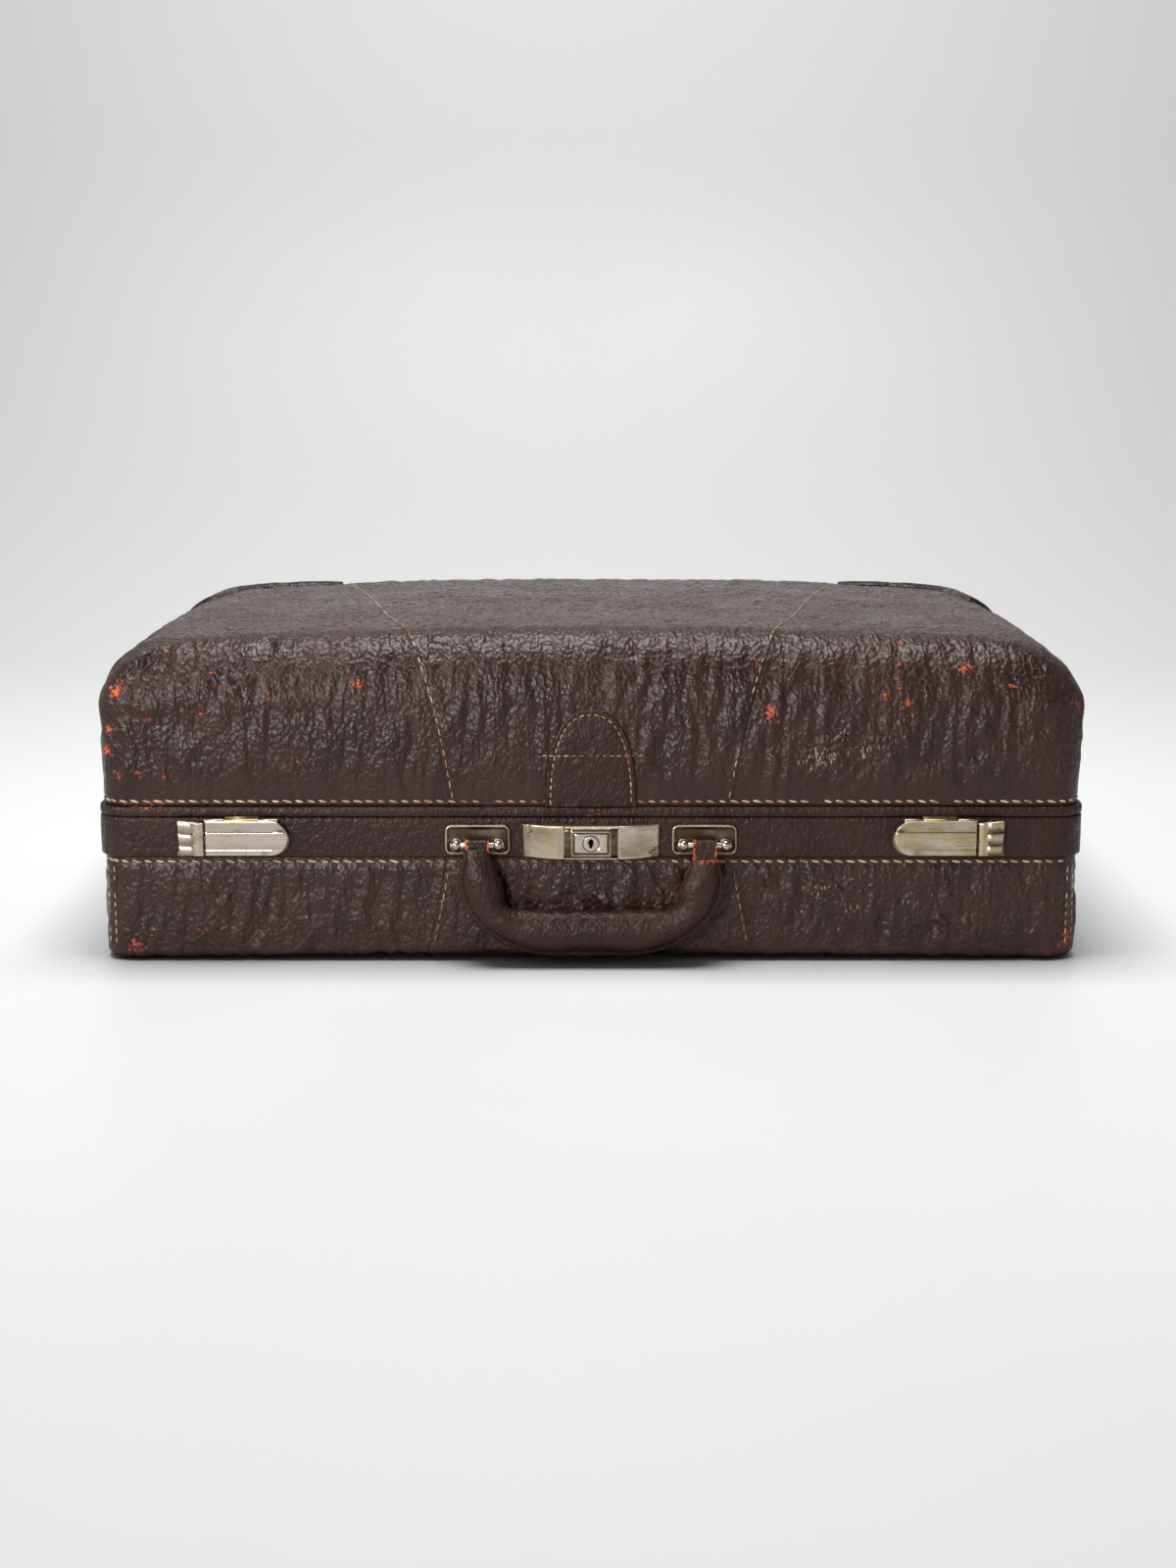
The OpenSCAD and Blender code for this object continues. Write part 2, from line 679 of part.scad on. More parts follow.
// A ring spring in the slide's window, between the plate's post and the slide
spring_u0 = post_u + post_w + slack;
spring_u1 = window_u1 - slack;
spring_r = (spring_u1 - spring_u0) / 2;
module latch_spring() translate([-latch_x, 0, 0]) difference() {
  frod((spring_u0 + spring_u1) / 2, mid_z, spring_f, spring_f + spring_wide, spring_r);
  frod((spring_u0 + spring_u1) / 2, mid_z, 0, cap_back, spring_r - spring_t);
}

module left_latch_spring() color(steel_c) latch_spring();
module right_latch_spring() color(steel_c) mirror([1, 0, 0]) latch_spring();

// The hasp: a long plate that hangs from the barrel along its top edge
band_in = 4;
raise_t = 0.8;
module hasp() translate([-latch_x, 0, 0]) difference() {
  union() {
    fplate(hasp_back, hasp_back + hasp_t) plate_outline(hasp_out, latch_in, latch_z, barrel_z);
    fplate(hasp_back + hasp_t, hasp_back + hasp_t + raise_t)
      plate_outline(hasp_out, latch_in - band_in, latch_z + band_in, latch_top - band_in);
    xrod(hasp_out, leaf_u0 - gap, barrel_f, barrel_z, barrel_r);
    xrod(leaf_u1 + gap, barrel_end, barrel_f, barrel_z, barrel_r);
    fbox(striker_u0, striker_u0 + striker_w, lip_f, hasp_back + slack,
      mid_z - tongue_h / 2, mid_z + tongue_h / 2);
    fbox(striker_u0 - lip_len, striker_u0 + striker_w, lip_f, lip_f + lip_t - gap,
      mid_z - tongue_h / 2, mid_z + tongue_h / 2);
  }
  xrod(hasp_out - eps, barrel_end + eps, barrel_f, barrel_z, pin_r + run);
  xrod(leaf_u0 - gap, leaf_u1 + gap, barrel_f, barrel_z, barrel_r + gap);
}

module left_hasp() color(steel_c) hasp();
module right_hasp() color(steel_c) mirror([1, 0, 0]) hasp();

// The hidden leaf: a knuckle, a web back over the band and a tongue up into the lid's strip
module latch_leaf() translate([-latch_x, 0, 0]) difference() {
  union() {
    xrod(leaf_u0, leaf_u1, barrel_f, barrel_z, barrel_r);
    fbox(leaf_u0, leaf_u1, leaf_back, barrel_f, barrel_z - leaf_t / 2, barrel_z + leaf_t / 2);
    fbox(leaf_u0, leaf_u1, leaf_back, leaf_front, barrel_z - leaf_t / 2, leaf_top);
  }
  xrod(leaf_u0 - eps, leaf_u1 + eps, barrel_f, barrel_z, pin_r + run);
}

module left_latch_leaf() color(steel_c) latch_leaf();
module right_latch_leaf() color(steel_c) mirror([1, 0, 0]) latch_leaf();

module latch_pin() translate([-latch_x, 0, 0]) xrod(hasp_out, barrel_end, barrel_f, barrel_z, pin_r);
module left_latch_pin() color(brass_c) latch_pin();
module right_latch_pin() color(brass_c) mirror([1, 0, 0]) latch_pin();

// Lock
sheet_t = 1.2;
wing_n = 12;
wing_f = block_f - 2;
frame_w = 2.6;
plate_t = 1;
recess = 1.4;
wing_len = (lock_w - block_w) / 2;
function wing_at(i) = let (u = i / wing_n)
  [-lock_w / 2 + wing_len * u, sheet_t + (wing_f - sheet_t) * sin(90 * u)];
wing_left = [for (i = [0:wing_n]) wing_at(i)];
wing_right = [for (i = [wing_n:-1:0]) [-wing_at(i)[0], wing_at(i)[1]]];
wing_out = concat([[-lock_w / 2, 0]], wing_left, wing_right, [[lock_w / 2, 0]]);
wing_hollow = concat([[-lock_w / 2 + sheet_t, -eps]],
  [for (p = wing_left) [p[0] + sheet_t, p[1] - sheet_t]],
  [for (p = wing_right) [p[0] - sheet_t, p[1] - sheet_t]], [[lock_w / 2 - sheet_t, -eps]]);
inner_w = block_w - 2 * frame_w - 2 * plate_t * 2;
inner_h = lock_h - 2 * frame_w;

// A plan outline on the front, raised from one height to another
module plan(z0, z1) {
  translate([0, -band_y, z0]) mirror([0, 1, 0]) linear_extrude(z1 - z0) children();
}

module lock_face() color(steel_c) difference() {
  union() {
    difference() {
      plan(lock_z, lock_top) polygon(wing_out);
      plan(lock_z + sheet_t, lock_top - sheet_t) polygon(wing_hollow);
    }
    fbox(-block_w / 2, block_w / 2, wing_f - slack, block_f, lock_z, lock_top);
  }
  fbox(-inner_w / 2 - slack, inner_w / 2 + slack, block_f - recess, block_f + eps,
    plug_z - inner_h / 2 - slack, plug_z + inner_h / 2 + slack);
  frod(0, plug_z, 0, block_f + eps, plug_r + run);
}

module lock_escutcheon() color(brass_c) difference() {
  fbox(-inner_w / 2, inner_w / 2, block_f - recess, block_f - recess + plate_t,
    plug_z - inner_h / 2, plug_z + inner_h / 2);
  frod(0, plug_z, 0, block_f + eps, plug_r + run);
}

// The plug turns a pin that drives the bolt sideways
bolt_f = 0.3;
bolt_t = 1.2;
bolt_h = 10;
cam_pin_r = 0.8;
cam_e = bolt_travel / 2 * sqrt(2);
cam_slot = 0.2;
flange_r = plug_r + 1.4;
flange_t = 1;
plug_back = bolt_f + bolt_t + gap;
key_r = 1.5;
key_w = 1.6;
key_len = 4;
key_deep = 5;
key_up = 1.2;

module lock_plug() color(brass_c) difference() {
  union() {
    frod(0, plug_z, plug_back, block_f - recess + plate_t + slack, plug_r);
    frod(0, plug_z, wing_f - sheet_t - gap - flange_t, wing_f - sheet_t - gap, flange_r);
    frod(cam_e * cos(45), plug_z + cam_e * sin(45), bolt_f - slack, plug_back + slack, cam_pin_r);
  }
  frod(0, plug_z + key_up, block_f - key_deep, block_f, key_r);
  fbox(-key_w / 2, key_w / 2, block_f - key_deep, block_f, plug_z + key_up - key_len, plug_z + key_up);
}

slot_low = cam_e * sin(45) - cam_pin_r - cam_slot;
slot_high = cam_e + cam_pin_r + cam_slot;
slot_x = cam_e * cos(45);
bolt_left = -4;
module lock_bolt() color(steel_c) difference() {
  union() {
    fbox(bolt_left, bolt_x1, bolt_f, bolt_f + bolt_t, plug_z - bolt_h / 2, plug_z + bolt_h / 2);
    fbox(bolt_x0, bolt_x1, hook_back, bolt_f + slack, plug_z - nose_h / 2, plug_z + nose_h / 2);
  }
  fbox(slot_x - cam_pin_r - cam_slot, slot_x + cam_pin_r + cam_slot, -eps, bolt_f + bolt_t + eps,
    plug_z + slot_low, plug_z + slot_high);
}

// Two rails and a back that keep the bolt level
guide_w = 2;
guide_end = bolt_left - bolt_travel - 1;
module lock_guide() color(steel_c) union() {
  for (s = [-1, 1])
    fbox(guide_end - guide_w, bolt_x1 + 1, 0, bolt_f + bolt_t,
      plug_z + (s > 0 ? bolt_h / 2 + gap : -bolt_h / 2 - gap - guide_w),
      plug_z + (s > 0 ? bolt_h / 2 + gap + guide_w : -bolt_h / 2 - gap));
  fbox(guide_end - guide_w, guide_end, 0, bolt_f + bolt_t,
    plug_z - bolt_h / 2 - gap - slack, plug_z + bolt_h / 2 + gap + slack);
}

// The hook on the lid, with a throat in its side for the bolt
module lock_hook() color(steel_c) difference() {
  fbox(-hook_w / 2, hook_w / 2, hook_back, hook_front, hook_low, hook_top);
  fbox(hook_w / 2 - throat, hook_w / 2 + eps, hook_back - eps, hook_front + eps,
    plug_z - nose_h / 2 - 2 * gap, plug_z + nose_h / 2 + 2 * gap);
}

// Handle plates, studs and bars
plate_base_t = 1;
plate_rim_t = 1.4;
plate_rim_w = 1.2;
plate_corner = 4;
plate_z = base_h + 2;
bar_z = base_h + 9;
post_r = 2;
collar_r = 3.1;
collar_t = 0.6;
stud_x = [-stud_gap / 2, stud_gap / 2];

module plate_shape(inset) {
  translate([0, plate_z + plate_h / 2])
    rounded(plate_w - 2 * inset, plate_h - 2 * inset, plate_corner - inset);
}

module handle_plate() union() {
  fplate(0, plate_base_t) plate_shape(0);
  fplate(plate_base_t - slack, plate_base_t + plate_rim_t) difference() {
    plate_shape(0);
    plate_shape(plate_rim_w);
  }
}

module left_handle_plate() color(steel_c) translate([-handle_x, 0, 0]) handle_plate();
module right_handle_plate() color(steel_c) translate([handle_x, 0, 0]) handle_plate();

// A stud: a collar and a post that carry a ball, bored through for the bar
module stud(x) {
  frod(x, bar_z, plate_base_t, plate_base_t + collar_t, collar_r);
  frod(x, bar_z, plate_base_t, bar_f - bar_r - gap, post_r);
  translate([x, -(band_y + bar_f), bar_z]) rotate([0, 90, 0]) rotate_extrude() intersection() {
    circle(stud_ball_r);
    translate([bar_r + run, -stud_ball_r]) square([stud_ball_r, 2 * stud_ball_r]);
  }
}

module handle_studs() color(steel_c) for (x = [-handle_x, handle_x], s = stud_x) stud(x + s);

module handle_bar() xrod(stud_x[0] - stud_ball_r, stud_x[1] + stud_ball_r, bar_f, bar_z, bar_r);
module left_handle_bar() color(steel_c) translate([-handle_x, 0, 0]) handle_bar();
module right_handle_bar() color(steel_c) translate([handle_x, 0, 0]) handle_bar();

// Handle: a padded tube bent into a U, with a sewn fin along its outside
grip_f = grip_r - band_proud + 2 * gap + 0.4;
grip_z = bar_z - grip_drop;
leg_x = handle_x - 2.5;
bend_r = 25;
leg_drop = 22;
leg_top = bar_z - leg_drop;
fin_t = 2.2;
loop_r = 4.3;
loop_bore = bar_r + slack;
strap_t = 3.4;
strap_low = leg_top + grip_r / 2 - 2;

module tube_bend() {
  translate([leg_x - bend_r, -(band_y + grip_f), grip_z + bend_r]) rotate([90, 0, 0])
    rotate([0, 0, -90]) rotate_extrude(angle = 90) translate([bend_r, 0]) circle(grip_r);
}

module strap(x) {
  fbox(x - loop_w / 2, x + loop_w / 2, bar_f - strap_t / 2, bar_f + strap_t / 2, strap_low, bar_z);
}

fin_side = fin_h / 2;
module fin_outline() difference() {
  translate([0, grip_z - grip_r - fin_h + leg_top])
    rounded(2 * (leg_x + grip_r + fin_side), 2 * leg_top, bend_r + grip_r);
  translate([0, grip_z + leg_top]) rounded(2 * leg_x, 2 * leg_top, bend_r);
  translate([-case_w / 2, leg_top]) square([case_w, 2 * leg_top]);
}

module handle_grip() color(smooth_c) difference() {
  union() {
    xrod(-leg_x + bend_r, leg_x - bend_r, grip_f, grip_z, grip_r);
    tube_bend();
    mirror([1, 0, 0]) tube_bend();
    for (x = [-leg_x, leg_x]) {
      translate([x, -(band_y + grip_f), grip_z + bend_r])
        cylinder(h = leg_top - grip_z - bend_r, r = grip_r);
      translate([x, -(band_y + grip_f), leg_top]) sphere(grip_r);
    }
    fplate(grip_f - fin_t / 2, grip_f + fin_t / 2) fin_outline();
  }
  strap(-handle_x);
  strap(handle_x);
}

module handle_loop(x) difference() {
  union() {
    xrod(x - loop_w / 2, x + loop_w / 2, bar_f, bar_z, loop_r);
    strap(x);
  }
  xrod(x - loop_w, x + loop_w, bar_f, bar_z, loop_bore);
}

module left_handle_loop() color(smooth_c) handle_loop(-handle_x);
module right_handle_loop() color(smooth_c) handle_loop(handle_x);

base_leather();
base_board();
base_front_board();
base_rear_board();
base_left_board();
base_right_board();
base_lining();
base_front_rail();
base_rear_rail();
base_left_rail();
base_right_rail();
base_band();
lid_leather();
lid_board();
lid_lining();
lid_rail();
lid_strip();
lid_tab();
lid_left_patch();
lid_right_patch();
left_base_hinge();
centre_base_hinge();
right_base_hinge();
left_lid_hinge();
centre_lid_hinge();
right_lid_hinge();
hinge_pins();
hinge_base_rivets();
hinge_lid_rivets();
left_latch_plate();
right_latch_plate();
latch_rivets();
left_latch_spring();
right_latch_spring();
left_slide();
right_slide();
left_hasp();
right_hasp();
left_latch_leaf();
right_latch_leaf();
left_latch_pin();
right_latch_pin();
lock_face();
lock_escutcheon();
lock_guide();
lock_plug();
lock_bolt();
lock_hook();
left_handle_plate();
right_handle_plate();
handle_studs();
left_handle_bar();
right_handle_bar();
handle_grip();
left_handle_loop();
right_handle_loop();
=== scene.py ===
"""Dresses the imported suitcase: grained leather, bound edges, stitching, plated latches and a padded handle."""

import json
import logging
import math
import random
from collections.abc import Callable, Iterable
from dataclasses import dataclass
from enum import Enum

import bmesh
import bpy
from mathutils import Matrix, Vector, noise


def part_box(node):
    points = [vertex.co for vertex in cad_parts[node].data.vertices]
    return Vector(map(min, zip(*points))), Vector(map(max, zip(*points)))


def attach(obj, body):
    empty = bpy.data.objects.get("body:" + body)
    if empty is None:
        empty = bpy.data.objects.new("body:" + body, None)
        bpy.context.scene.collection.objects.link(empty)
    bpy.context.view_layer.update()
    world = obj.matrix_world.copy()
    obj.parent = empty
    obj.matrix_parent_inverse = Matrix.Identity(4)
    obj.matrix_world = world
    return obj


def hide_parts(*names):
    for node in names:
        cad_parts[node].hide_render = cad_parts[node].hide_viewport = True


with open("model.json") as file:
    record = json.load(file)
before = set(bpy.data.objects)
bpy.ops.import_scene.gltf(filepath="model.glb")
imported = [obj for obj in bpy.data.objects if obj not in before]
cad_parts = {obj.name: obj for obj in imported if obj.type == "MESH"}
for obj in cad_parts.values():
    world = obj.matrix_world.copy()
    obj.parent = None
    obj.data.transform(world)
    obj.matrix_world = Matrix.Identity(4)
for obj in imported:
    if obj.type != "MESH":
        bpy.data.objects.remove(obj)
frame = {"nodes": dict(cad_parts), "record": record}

LOG = logging.getLogger("suitcase")
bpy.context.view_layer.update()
MM = 0.001
WELD = 0.0005
LEATHER_T = 2.0
LINING_T = 0.7
SEAM_FAR = 12.0
SEAM_ZERO = 20.0
AHEAD = Vector((0, -1, 0))

Colour = tuple[float, float, float, float]
Triple = tuple[float, float, float]
Mesh = bmesh.types.BMesh
Path = list[tuple[Vector, Vector]]
Place = Callable[[float, float], Vector]


class Body(Enum):
    """The moving bodies of the frame that carry new pieces."""

    BASE = "base"
    LID = "lid"
    HANDLE = "handle"
    HASP_LEFT = "hasp_left"
    HASP_RIGHT = "hasp_right"
    SLIDE_LEFT = "slide_left"
    SLIDE_RIGHT = "slide_right"
    PLUG = "plug"


class Slot(Enum):
    """The record's material slots."""

    GRAINED = "grained_leather"
    SMOOTH = "smooth_leather"
    BOARD = "case_board"
    WOOD = "rail_wood"
    CLOTH = "lining_cloth"
    STEEL = "plated_steel"
    BRASS = "worn_brass"


class Side(Enum):
    """Left or right half of the case, as the sign of its X."""

    LEFT = -1
    RIGHT = 1

    @property
    def word(self) -> str:
        """The side's name as the nodes spell it."""
        return self.name.lower()


def mm_box(node: str) -> tuple[Vector, Vector]:
    """Lowest and highest corner of a node, in millimetres."""
    low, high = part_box(node)
    return low / MM, high / MM


def clamp(value: float) -> float:
    """The value, held between 0 and 1."""
    return min(1.0, max(0.0, value))


def ease(low: float, high: float, value: float) -> float:
    """A smooth step from 0 at low to 1 at high."""
    t = clamp((value - low) / (high - low))
    return t * t * (3 - 2 * t)


def bell(value: float, middle: float, width: float) -> float:
    """A soft bump of height 1 round a middle."""
    return math.exp(-((value - middle) / width) ** 2)


def rounded(inside: float, reach: float) -> float:
    """Rise of a rounded edge, from 0 at the edge to 1 a reach inside it."""
    return 1 - (1 - clamp(inside / reach)) ** 2


def along(stops: Iterable[tuple[float, float]], value: float) -> float:
    """Straight-line reading of a short list of (position, amount) stops.

    Args:
        stops: The stops, in rising position.
        value: Where to read.

    Returns:
        The amount at that position, held level past both ends.
    """
    stops = list(stops)
    if value <= stops[0][0]:
        return stops[0][1]
    for (x0, y0), (x1, y1) in zip(stops, stops[1:]):
        if value <= x1:
            return y0 + (y1 - y0) * (value - x0) / (x1 - x0)
    return stops[-1][1]


def billow(x: float, y: float, z: float) -> float:
    """Rounded swellings between sharp creases, from 0 up."""
    return abs(noise.noise(Vector((x, y, z))))


# Shader graphs


class Value:
    """A socket that sums can be written with."""

    def __init__(self, graph: "Graph", socket: bpy.types.NodeSocket) -> None:
        """Takes the graph and the socket that it stands for."""
        self.graph, self.socket = graph, socket

    def __add__(self, other: "Value | float") -> "Value":
        """The sum."""
        return self.graph.math("ADD", self, other)

    def __sub__(self, other: "Value | float") -> "Value":
        """The difference."""
        return self.graph.math("SUBTRACT", self, other)

    def __rsub__(self, other: float) -> "Value":
        """The difference from a number."""
        return self.graph.math("SUBTRACT", other, self)

    def __mul__(self, other: "Value | float") -> "Value":
        """The product."""
        return self.graph.math("MULTIPLY", self, other)

    def __rtruediv__(self, other: float) -> "Value":
        """A number divided by the value."""
        return self.graph.math("DIVIDE", other, self)

    def __abs__(self) -> "Value":
        """The value without its sign."""
        return self.graph.math("ABSOLUTE", self)


Number = Value | float
Wiring = Callable[..., dict[str, Value | float | Colour]]


class Graph:
    """A node tree wired by giving each node its inputs by name."""

    def __init__(self, tree: bpy.types.NodeTree) -> None:
        """Takes the tree to work on."""
        self.tree = tree

    def feed(self, node: bpy.types.Node, inputs: dict) -> None:
        """Links or sets the inputs of a node.

        Args:
            node: The node.
            inputs: Socket name or index to the value that feeds it, or to a constant.
        """
        for key, value in inputs.items():
            if isinstance(value, Value):
                self.tree.links.new(value.socket, node.inputs[key])
            else:
                node.inputs[key].default_value = value

    def add(self, kind: str, inputs: dict | None = None, out: int | str = 0, **settings: object) -> Value:
        """Adds one node.

        Args:
            kind: The node's type, without its ShaderNode prefix.
            inputs: What feeds it, as for feed.
            out: Name or index of the output that is read.
            settings: Properties of the node itself.

        Returns:
            The output.
        """
        node = self.tree.nodes.new("ShaderNode" + kind)
        for key, value in settings.items():
            setattr(node, key, value)
        self.feed(node, inputs or {})
        return Value(self, node.outputs[out])

    def parts(self, kind: str, inputs: dict | None = None, **settings: object) -> dict[str, Value]:
        """Adds one node, and gives all its outputs by name."""
        node = self.add(kind, inputs, **settings).socket.node
        return {socket.name: Value(self, socket) for socket in node.outputs}

    def math(self, operation: str, a: Number, b: Number = 0.0) -> Value:
        """One sum of two values."""
        return self.add("Math", {0: a, 1: b}, operation=operation)

    def mix(self, factor: Number, a: Value | Colour, b: Value | Colour) -> Value:
        """A mix of two colours."""
        return self.add("Mix", {0: factor, 6: a, 7: b}, 2, data_type="RGBA")

    def layered(self, colour: Value | Colour, *coats: tuple[Number, Value | Colour]) -> Value:
        """Lays coats over a colour.

        Args:
            colour: What lies lowest.
            coats: Mask and colour of each coat, from the lowest up.

        Returns:
            The colour that is seen.
        """
        for mask, coat in coats:
            colour = self.mix(mask, colour, coat)
        return colour

    def ramp(self, value: Number, low: float, high: float, to_low: float = 0.0, to_high: float = 1.0) -> Value:
        """A smooth step of a value between two limits."""
        inputs = {"Value": value, "From Min": low, "From Max": high, "To Min": to_low, "To Max": to_high}
        return self.add("MapRange", inputs, interpolation_type="SMOOTHSTEP")

    def noise(self, vector: Value, scale: Number, detail: float = 3.0, roughness: float = 0.55) -> Value:
        """Cloudy noise from about 0.3 to 0.7."""
        return self.add("TexNoise", {"Vector": vector, "Scale": scale, "Detail": detail, "Roughness": roughness})

    def scaled(self, vector: Value, scale: Triple) -> Value:
        """A vector stretched along the axes."""
        return self.add("VectorMath", {0: vector, 1: scale}, operation="MULTIPLY")

    def shifted(self, vector: Value, by: Value) -> Value:
        """A vector moved by another."""
        return self.add("VectorMath", {0: vector, 1: by}, operation="ADD")

    def position(self) -> Value:
        """The piece's own coordinates, in metres."""
        return self.add("TexCoord", out="Object")

    def field(self, name: str) -> Value:
        """A value that the piece's vertices carry."""
        return self.add("Attribute", out="Fac", attribute_name=name)

    def bump(self, strength: float, distance: float, height: Value) -> Value:
        """A normal bent by a height."""
        return self.add("Bump", {"Strength": strength, "Distance": distance, "Height": height})

    def group(self, tree: bpy.types.NodeTree, inputs: dict) -> dict[str, Value]:
        """Places a shared group, and gives its outputs by name."""
        return self.parts("Group", inputs, node_tree=tree)


def shared_group(name: str, inputs: dict[str, str], wire: Wiring) -> bpy.types.NodeTree:
    """Builds a shader group once.

    Args:
        name: The group's name.
        inputs: Each input's name and kind, Vector or Float.
        wire: Takes the graph and the inputs in order, and returns the outputs by name.

    Returns:
        The group, the same one on every call.
    """
    tree = bpy.data.node_groups.get(name)
    if tree:
        return tree
    tree = bpy.data.node_groups.new(name, "ShaderNodeTree")
    for label, kind in inputs.items():
        tree.interface.new_socket(label, in_out="INPUT", socket_type="NodeSocket" + kind)
    graph = Graph(tree)
    entry = tree.nodes.new("NodeGroupInput")
    made = wire(graph, *(Value(graph, entry.outputs[label]) for label in inputs))
    for label in made:
        tree.interface.new_socket(label, in_out="OUTPUT", socket_type="NodeSocketFloat")
    graph.feed(tree.nodes.new("NodeGroupOutput"), made)
    return tree


def grain_group() -> bpy.types.NodeTree:
    """Folds and pebbles of hide.

    Returns:
        The group, with their height and the creases between them.
    """

    def wire(graph: Graph, place: Value, pebble: Value, cell: Value) -> dict[str, Value]:
        """Soft drawn-out folds, with warped pebbles and small wrinkles on top.

        Args:
            graph: The group's graph.
            place: Coordinates of the folds.
            pebble: Coordinates of the pebbles.
            cell: Pebbles in a metre.

        Returns:
            The outputs by name.
        """
        drift = graph.add("TexNoise", {"Vector": pebble, "Scale": cell * 0.5, "Detail": 2.0}, 1)
        shift = graph.add("VectorMath", {0: drift, "Scale": 1.0 / cell}, operation="SCALE")
        moved = graph.shifted(pebble, shift)
        soft = graph.noise(graph.shifted(place, shift), cell * 0.42, 1.0, 0.5)
        wrinkle = abs(graph.noise(moved, cell * 1.1, 1.5, 0.5) - 0.5)
        cells = graph.add("TexVoronoi", {"Vector": moved, "Scale": cell, "Smoothness": 0.35}, "Distance",
                          feature="SMOOTH_F1")
        fine = graph.noise(moved, cell * 3.0, 4.0, 0.6)
        height = soft * 2.5 + cells * cells * -0.85 + wrinkle * 0.6 + fine * 0.07
        # Pore marks the creases between pebbles; the leather darkens them as painted shade and roughens them.
        return {"Height": height, "Pore": graph.ramp(cells + wrinkle * -0.6, 0.4, 0.7)}

    return shared_group("hide_grain", {"Position": "Vector", "Pebble": "Vector", "Cell": "Float"}, wire)


def rub_group() -> bpy.types.NodeTree:
    """Ragged spots where a surface is rubbed, from a soft amount.

    Returns:
        The group, with their mask and their tone.
    """

    def wire(graph: Graph, place: Value, amount: Value, size: Value) -> dict[str, Value]:
        """Noise cut off by the amount.

        Args:
            graph: The group's graph.
            place: Coordinates.
            amount: How much is rubbed.
            size: Spots in a metre.

        Returns:
            The outputs by name.
        """
        over = graph.noise(place, size, 6.0, 0.62) - (0.8 - amount * 0.42)
        mask = graph.ramp(over, 0.0, 0.045) * graph.ramp(amount, 0.03, 0.12)
        return {"Mask": mask, "Tone": graph.ramp(over, 0.0, 0.16)}

    return shared_group("rubbed_spots", {"Position": "Vector", "Amount": "Float", "Size": "Float"}, wire)


def tarnish_group() -> bpy.types.NodeTree:
    """Stains and lengthwise streaks on old plate.

    Returns:
        The group, with both masks and the stains' cloud.
    """

    def wire(graph: Graph, place: Value, amount: Value) -> dict[str, Value]:
        """Soft cloudy stains, and noise drawn out along the case.

        Args:
            graph: The group's graph.
            place: Coordinates.
            amount: How much is stained.

        Returns:
            The outputs by name.
        """
        cloud = graph.noise(graph.scaled(place, (0.7, 1.0, 1.3)), 90.0, 5.0, 0.6)
        drawn = graph.noise(graph.scaled(place, (70.0, 300.0, 900.0)), 1.0, 3.0, 0.6)
        gate = graph.noise(place, 60.0, 2.0)
        return {"Stain": graph.ramp(cloud + amount * 0.35, 0.42, 0.9),
                "Streak": graph.ramp(drawn + gate * 0.5, 0.82, 1.0), "Cloud": cloud}

    return shared_group("tarnish", {"Position": "Vector", "Amount": "Float"}, wire)


# Finishes


def new_material(name: str, wire: Wiring) -> bpy.types.Material:
    """Builds a material round its Principled shader.

    Args:
        name: The material's name.
        wire: Takes the graph, and returns what feeds the shader, by socket name.

    Returns:
        The material.
    """
    material = bpy.data.materials.new(name)
    material.use_nodes = True
    graph = Graph(material.node_tree)
    graph.feed(material.node_tree.nodes["Principled BSDF"], wire(graph))
    return material


@dataclass(frozen=True)
class Finish:
    """A named finish that belongs to one material slot."""

    name: str
    slot: Slot

    def material(self) -> bpy.types.Material:
        """The finish's material, built on first use."""
        return bpy.data.materials.get(self.name) or new_material(self.name, self.wire)

    def wire(self, graph: Graph) -> dict:
        """What feeds the shader, by socket name."""
        raise NotImplementedError


@dataclass(frozen=True)
class Leather(Finish):
    """Dyed hide: folds and pebbles, rubbed spots down to the tan, pale scratches, dark seams, painted shade in the
    grain's creases and a painted shade line along the lid's corner fold.
    """

    hue: Colour
    deep: Colour
    cell: float
    relief: float
    roughness: float
    drawn: Triple = (1.0, 0.35, 0.2)
    pebble: Triple = (1.0, 0.65, 0.75)
    gloss: float = 0.26
    tan: Colour = (0.6, 0.125, 0.03, 1.0)
    raw: Colour = (0.22, 0.028, 0.012, 1.0)
    pale: Colour = (0.42, 0.32, 0.22, 1.0)
    shadow: Colour = (0.006, 0.003, 0.002, 1.0)
    rub_size: float = 400.0
    scuff_size: float = 760.0

    def wire(self, graph: Graph) -> dict:
        """Wires the leather.

        Args:
            graph: The material's graph.

        Returns:
            What feeds the shader, by socket name.
        """
        place = graph.position()
        grain = graph.group(grain_group(), {"Position": graph.scaled(place, self.drawn),
                                            "Pebble": graph.scaled(place, self.pebble), "Cell": self.cell})
        rub = graph.group(rub_group(), {"Position": place, "Amount": graph.field("wear"), "Size": self.rub_size})
        scuff = graph.group(rub_group(), {"Position": graph.scaled(place, (1.0, 1.0, 0.4)),
                                          "Amount": graph.field("scuff"), "Size": self.scuff_size})
        cloud = graph.noise(place, 26.0, 4.0, 0.6)
        # The seam line darkens the seams as dark joints, and the lid's corner fold as painted shade.
        line = graph.ramp(abs(graph.field("seam") - SEAM_ZERO), 0.2, 0.8, 1.0, 0.0)
        # The crease mask lays painted shade in the grain's creases by darkening them toward the deep colour.
        colour = graph.layered(
            self.deep, (graph.ramp(cloud, 0.34, 0.62), self.hue), (grain["Pore"] * 0.4, self.deep),
            (line * 0.5, self.shadow), (rub["Mask"] * 0.92, graph.mix(rub["Tone"], self.raw, self.tan)),
            (scuff["Mask"] * 0.7, self.pale))
        rough = graph.ramp(cloud, 0.3, 0.7, -0.05, 0.07) + self.roughness
        height = grain["Height"] * graph.ramp(graph.field("calm"), 0.0, 1.0, 1.0, 0.3)
        return {"Base Color": colour, "Roughness": rough + rub["Mask"] * 0.2 + grain["Pore"] * 0.2,
                "Specular IOR Level": self.gloss,
                "Normal": graph.bump(0.72, self.relief, height - line * 0.4 - rub["Mask"] * 0.15)}


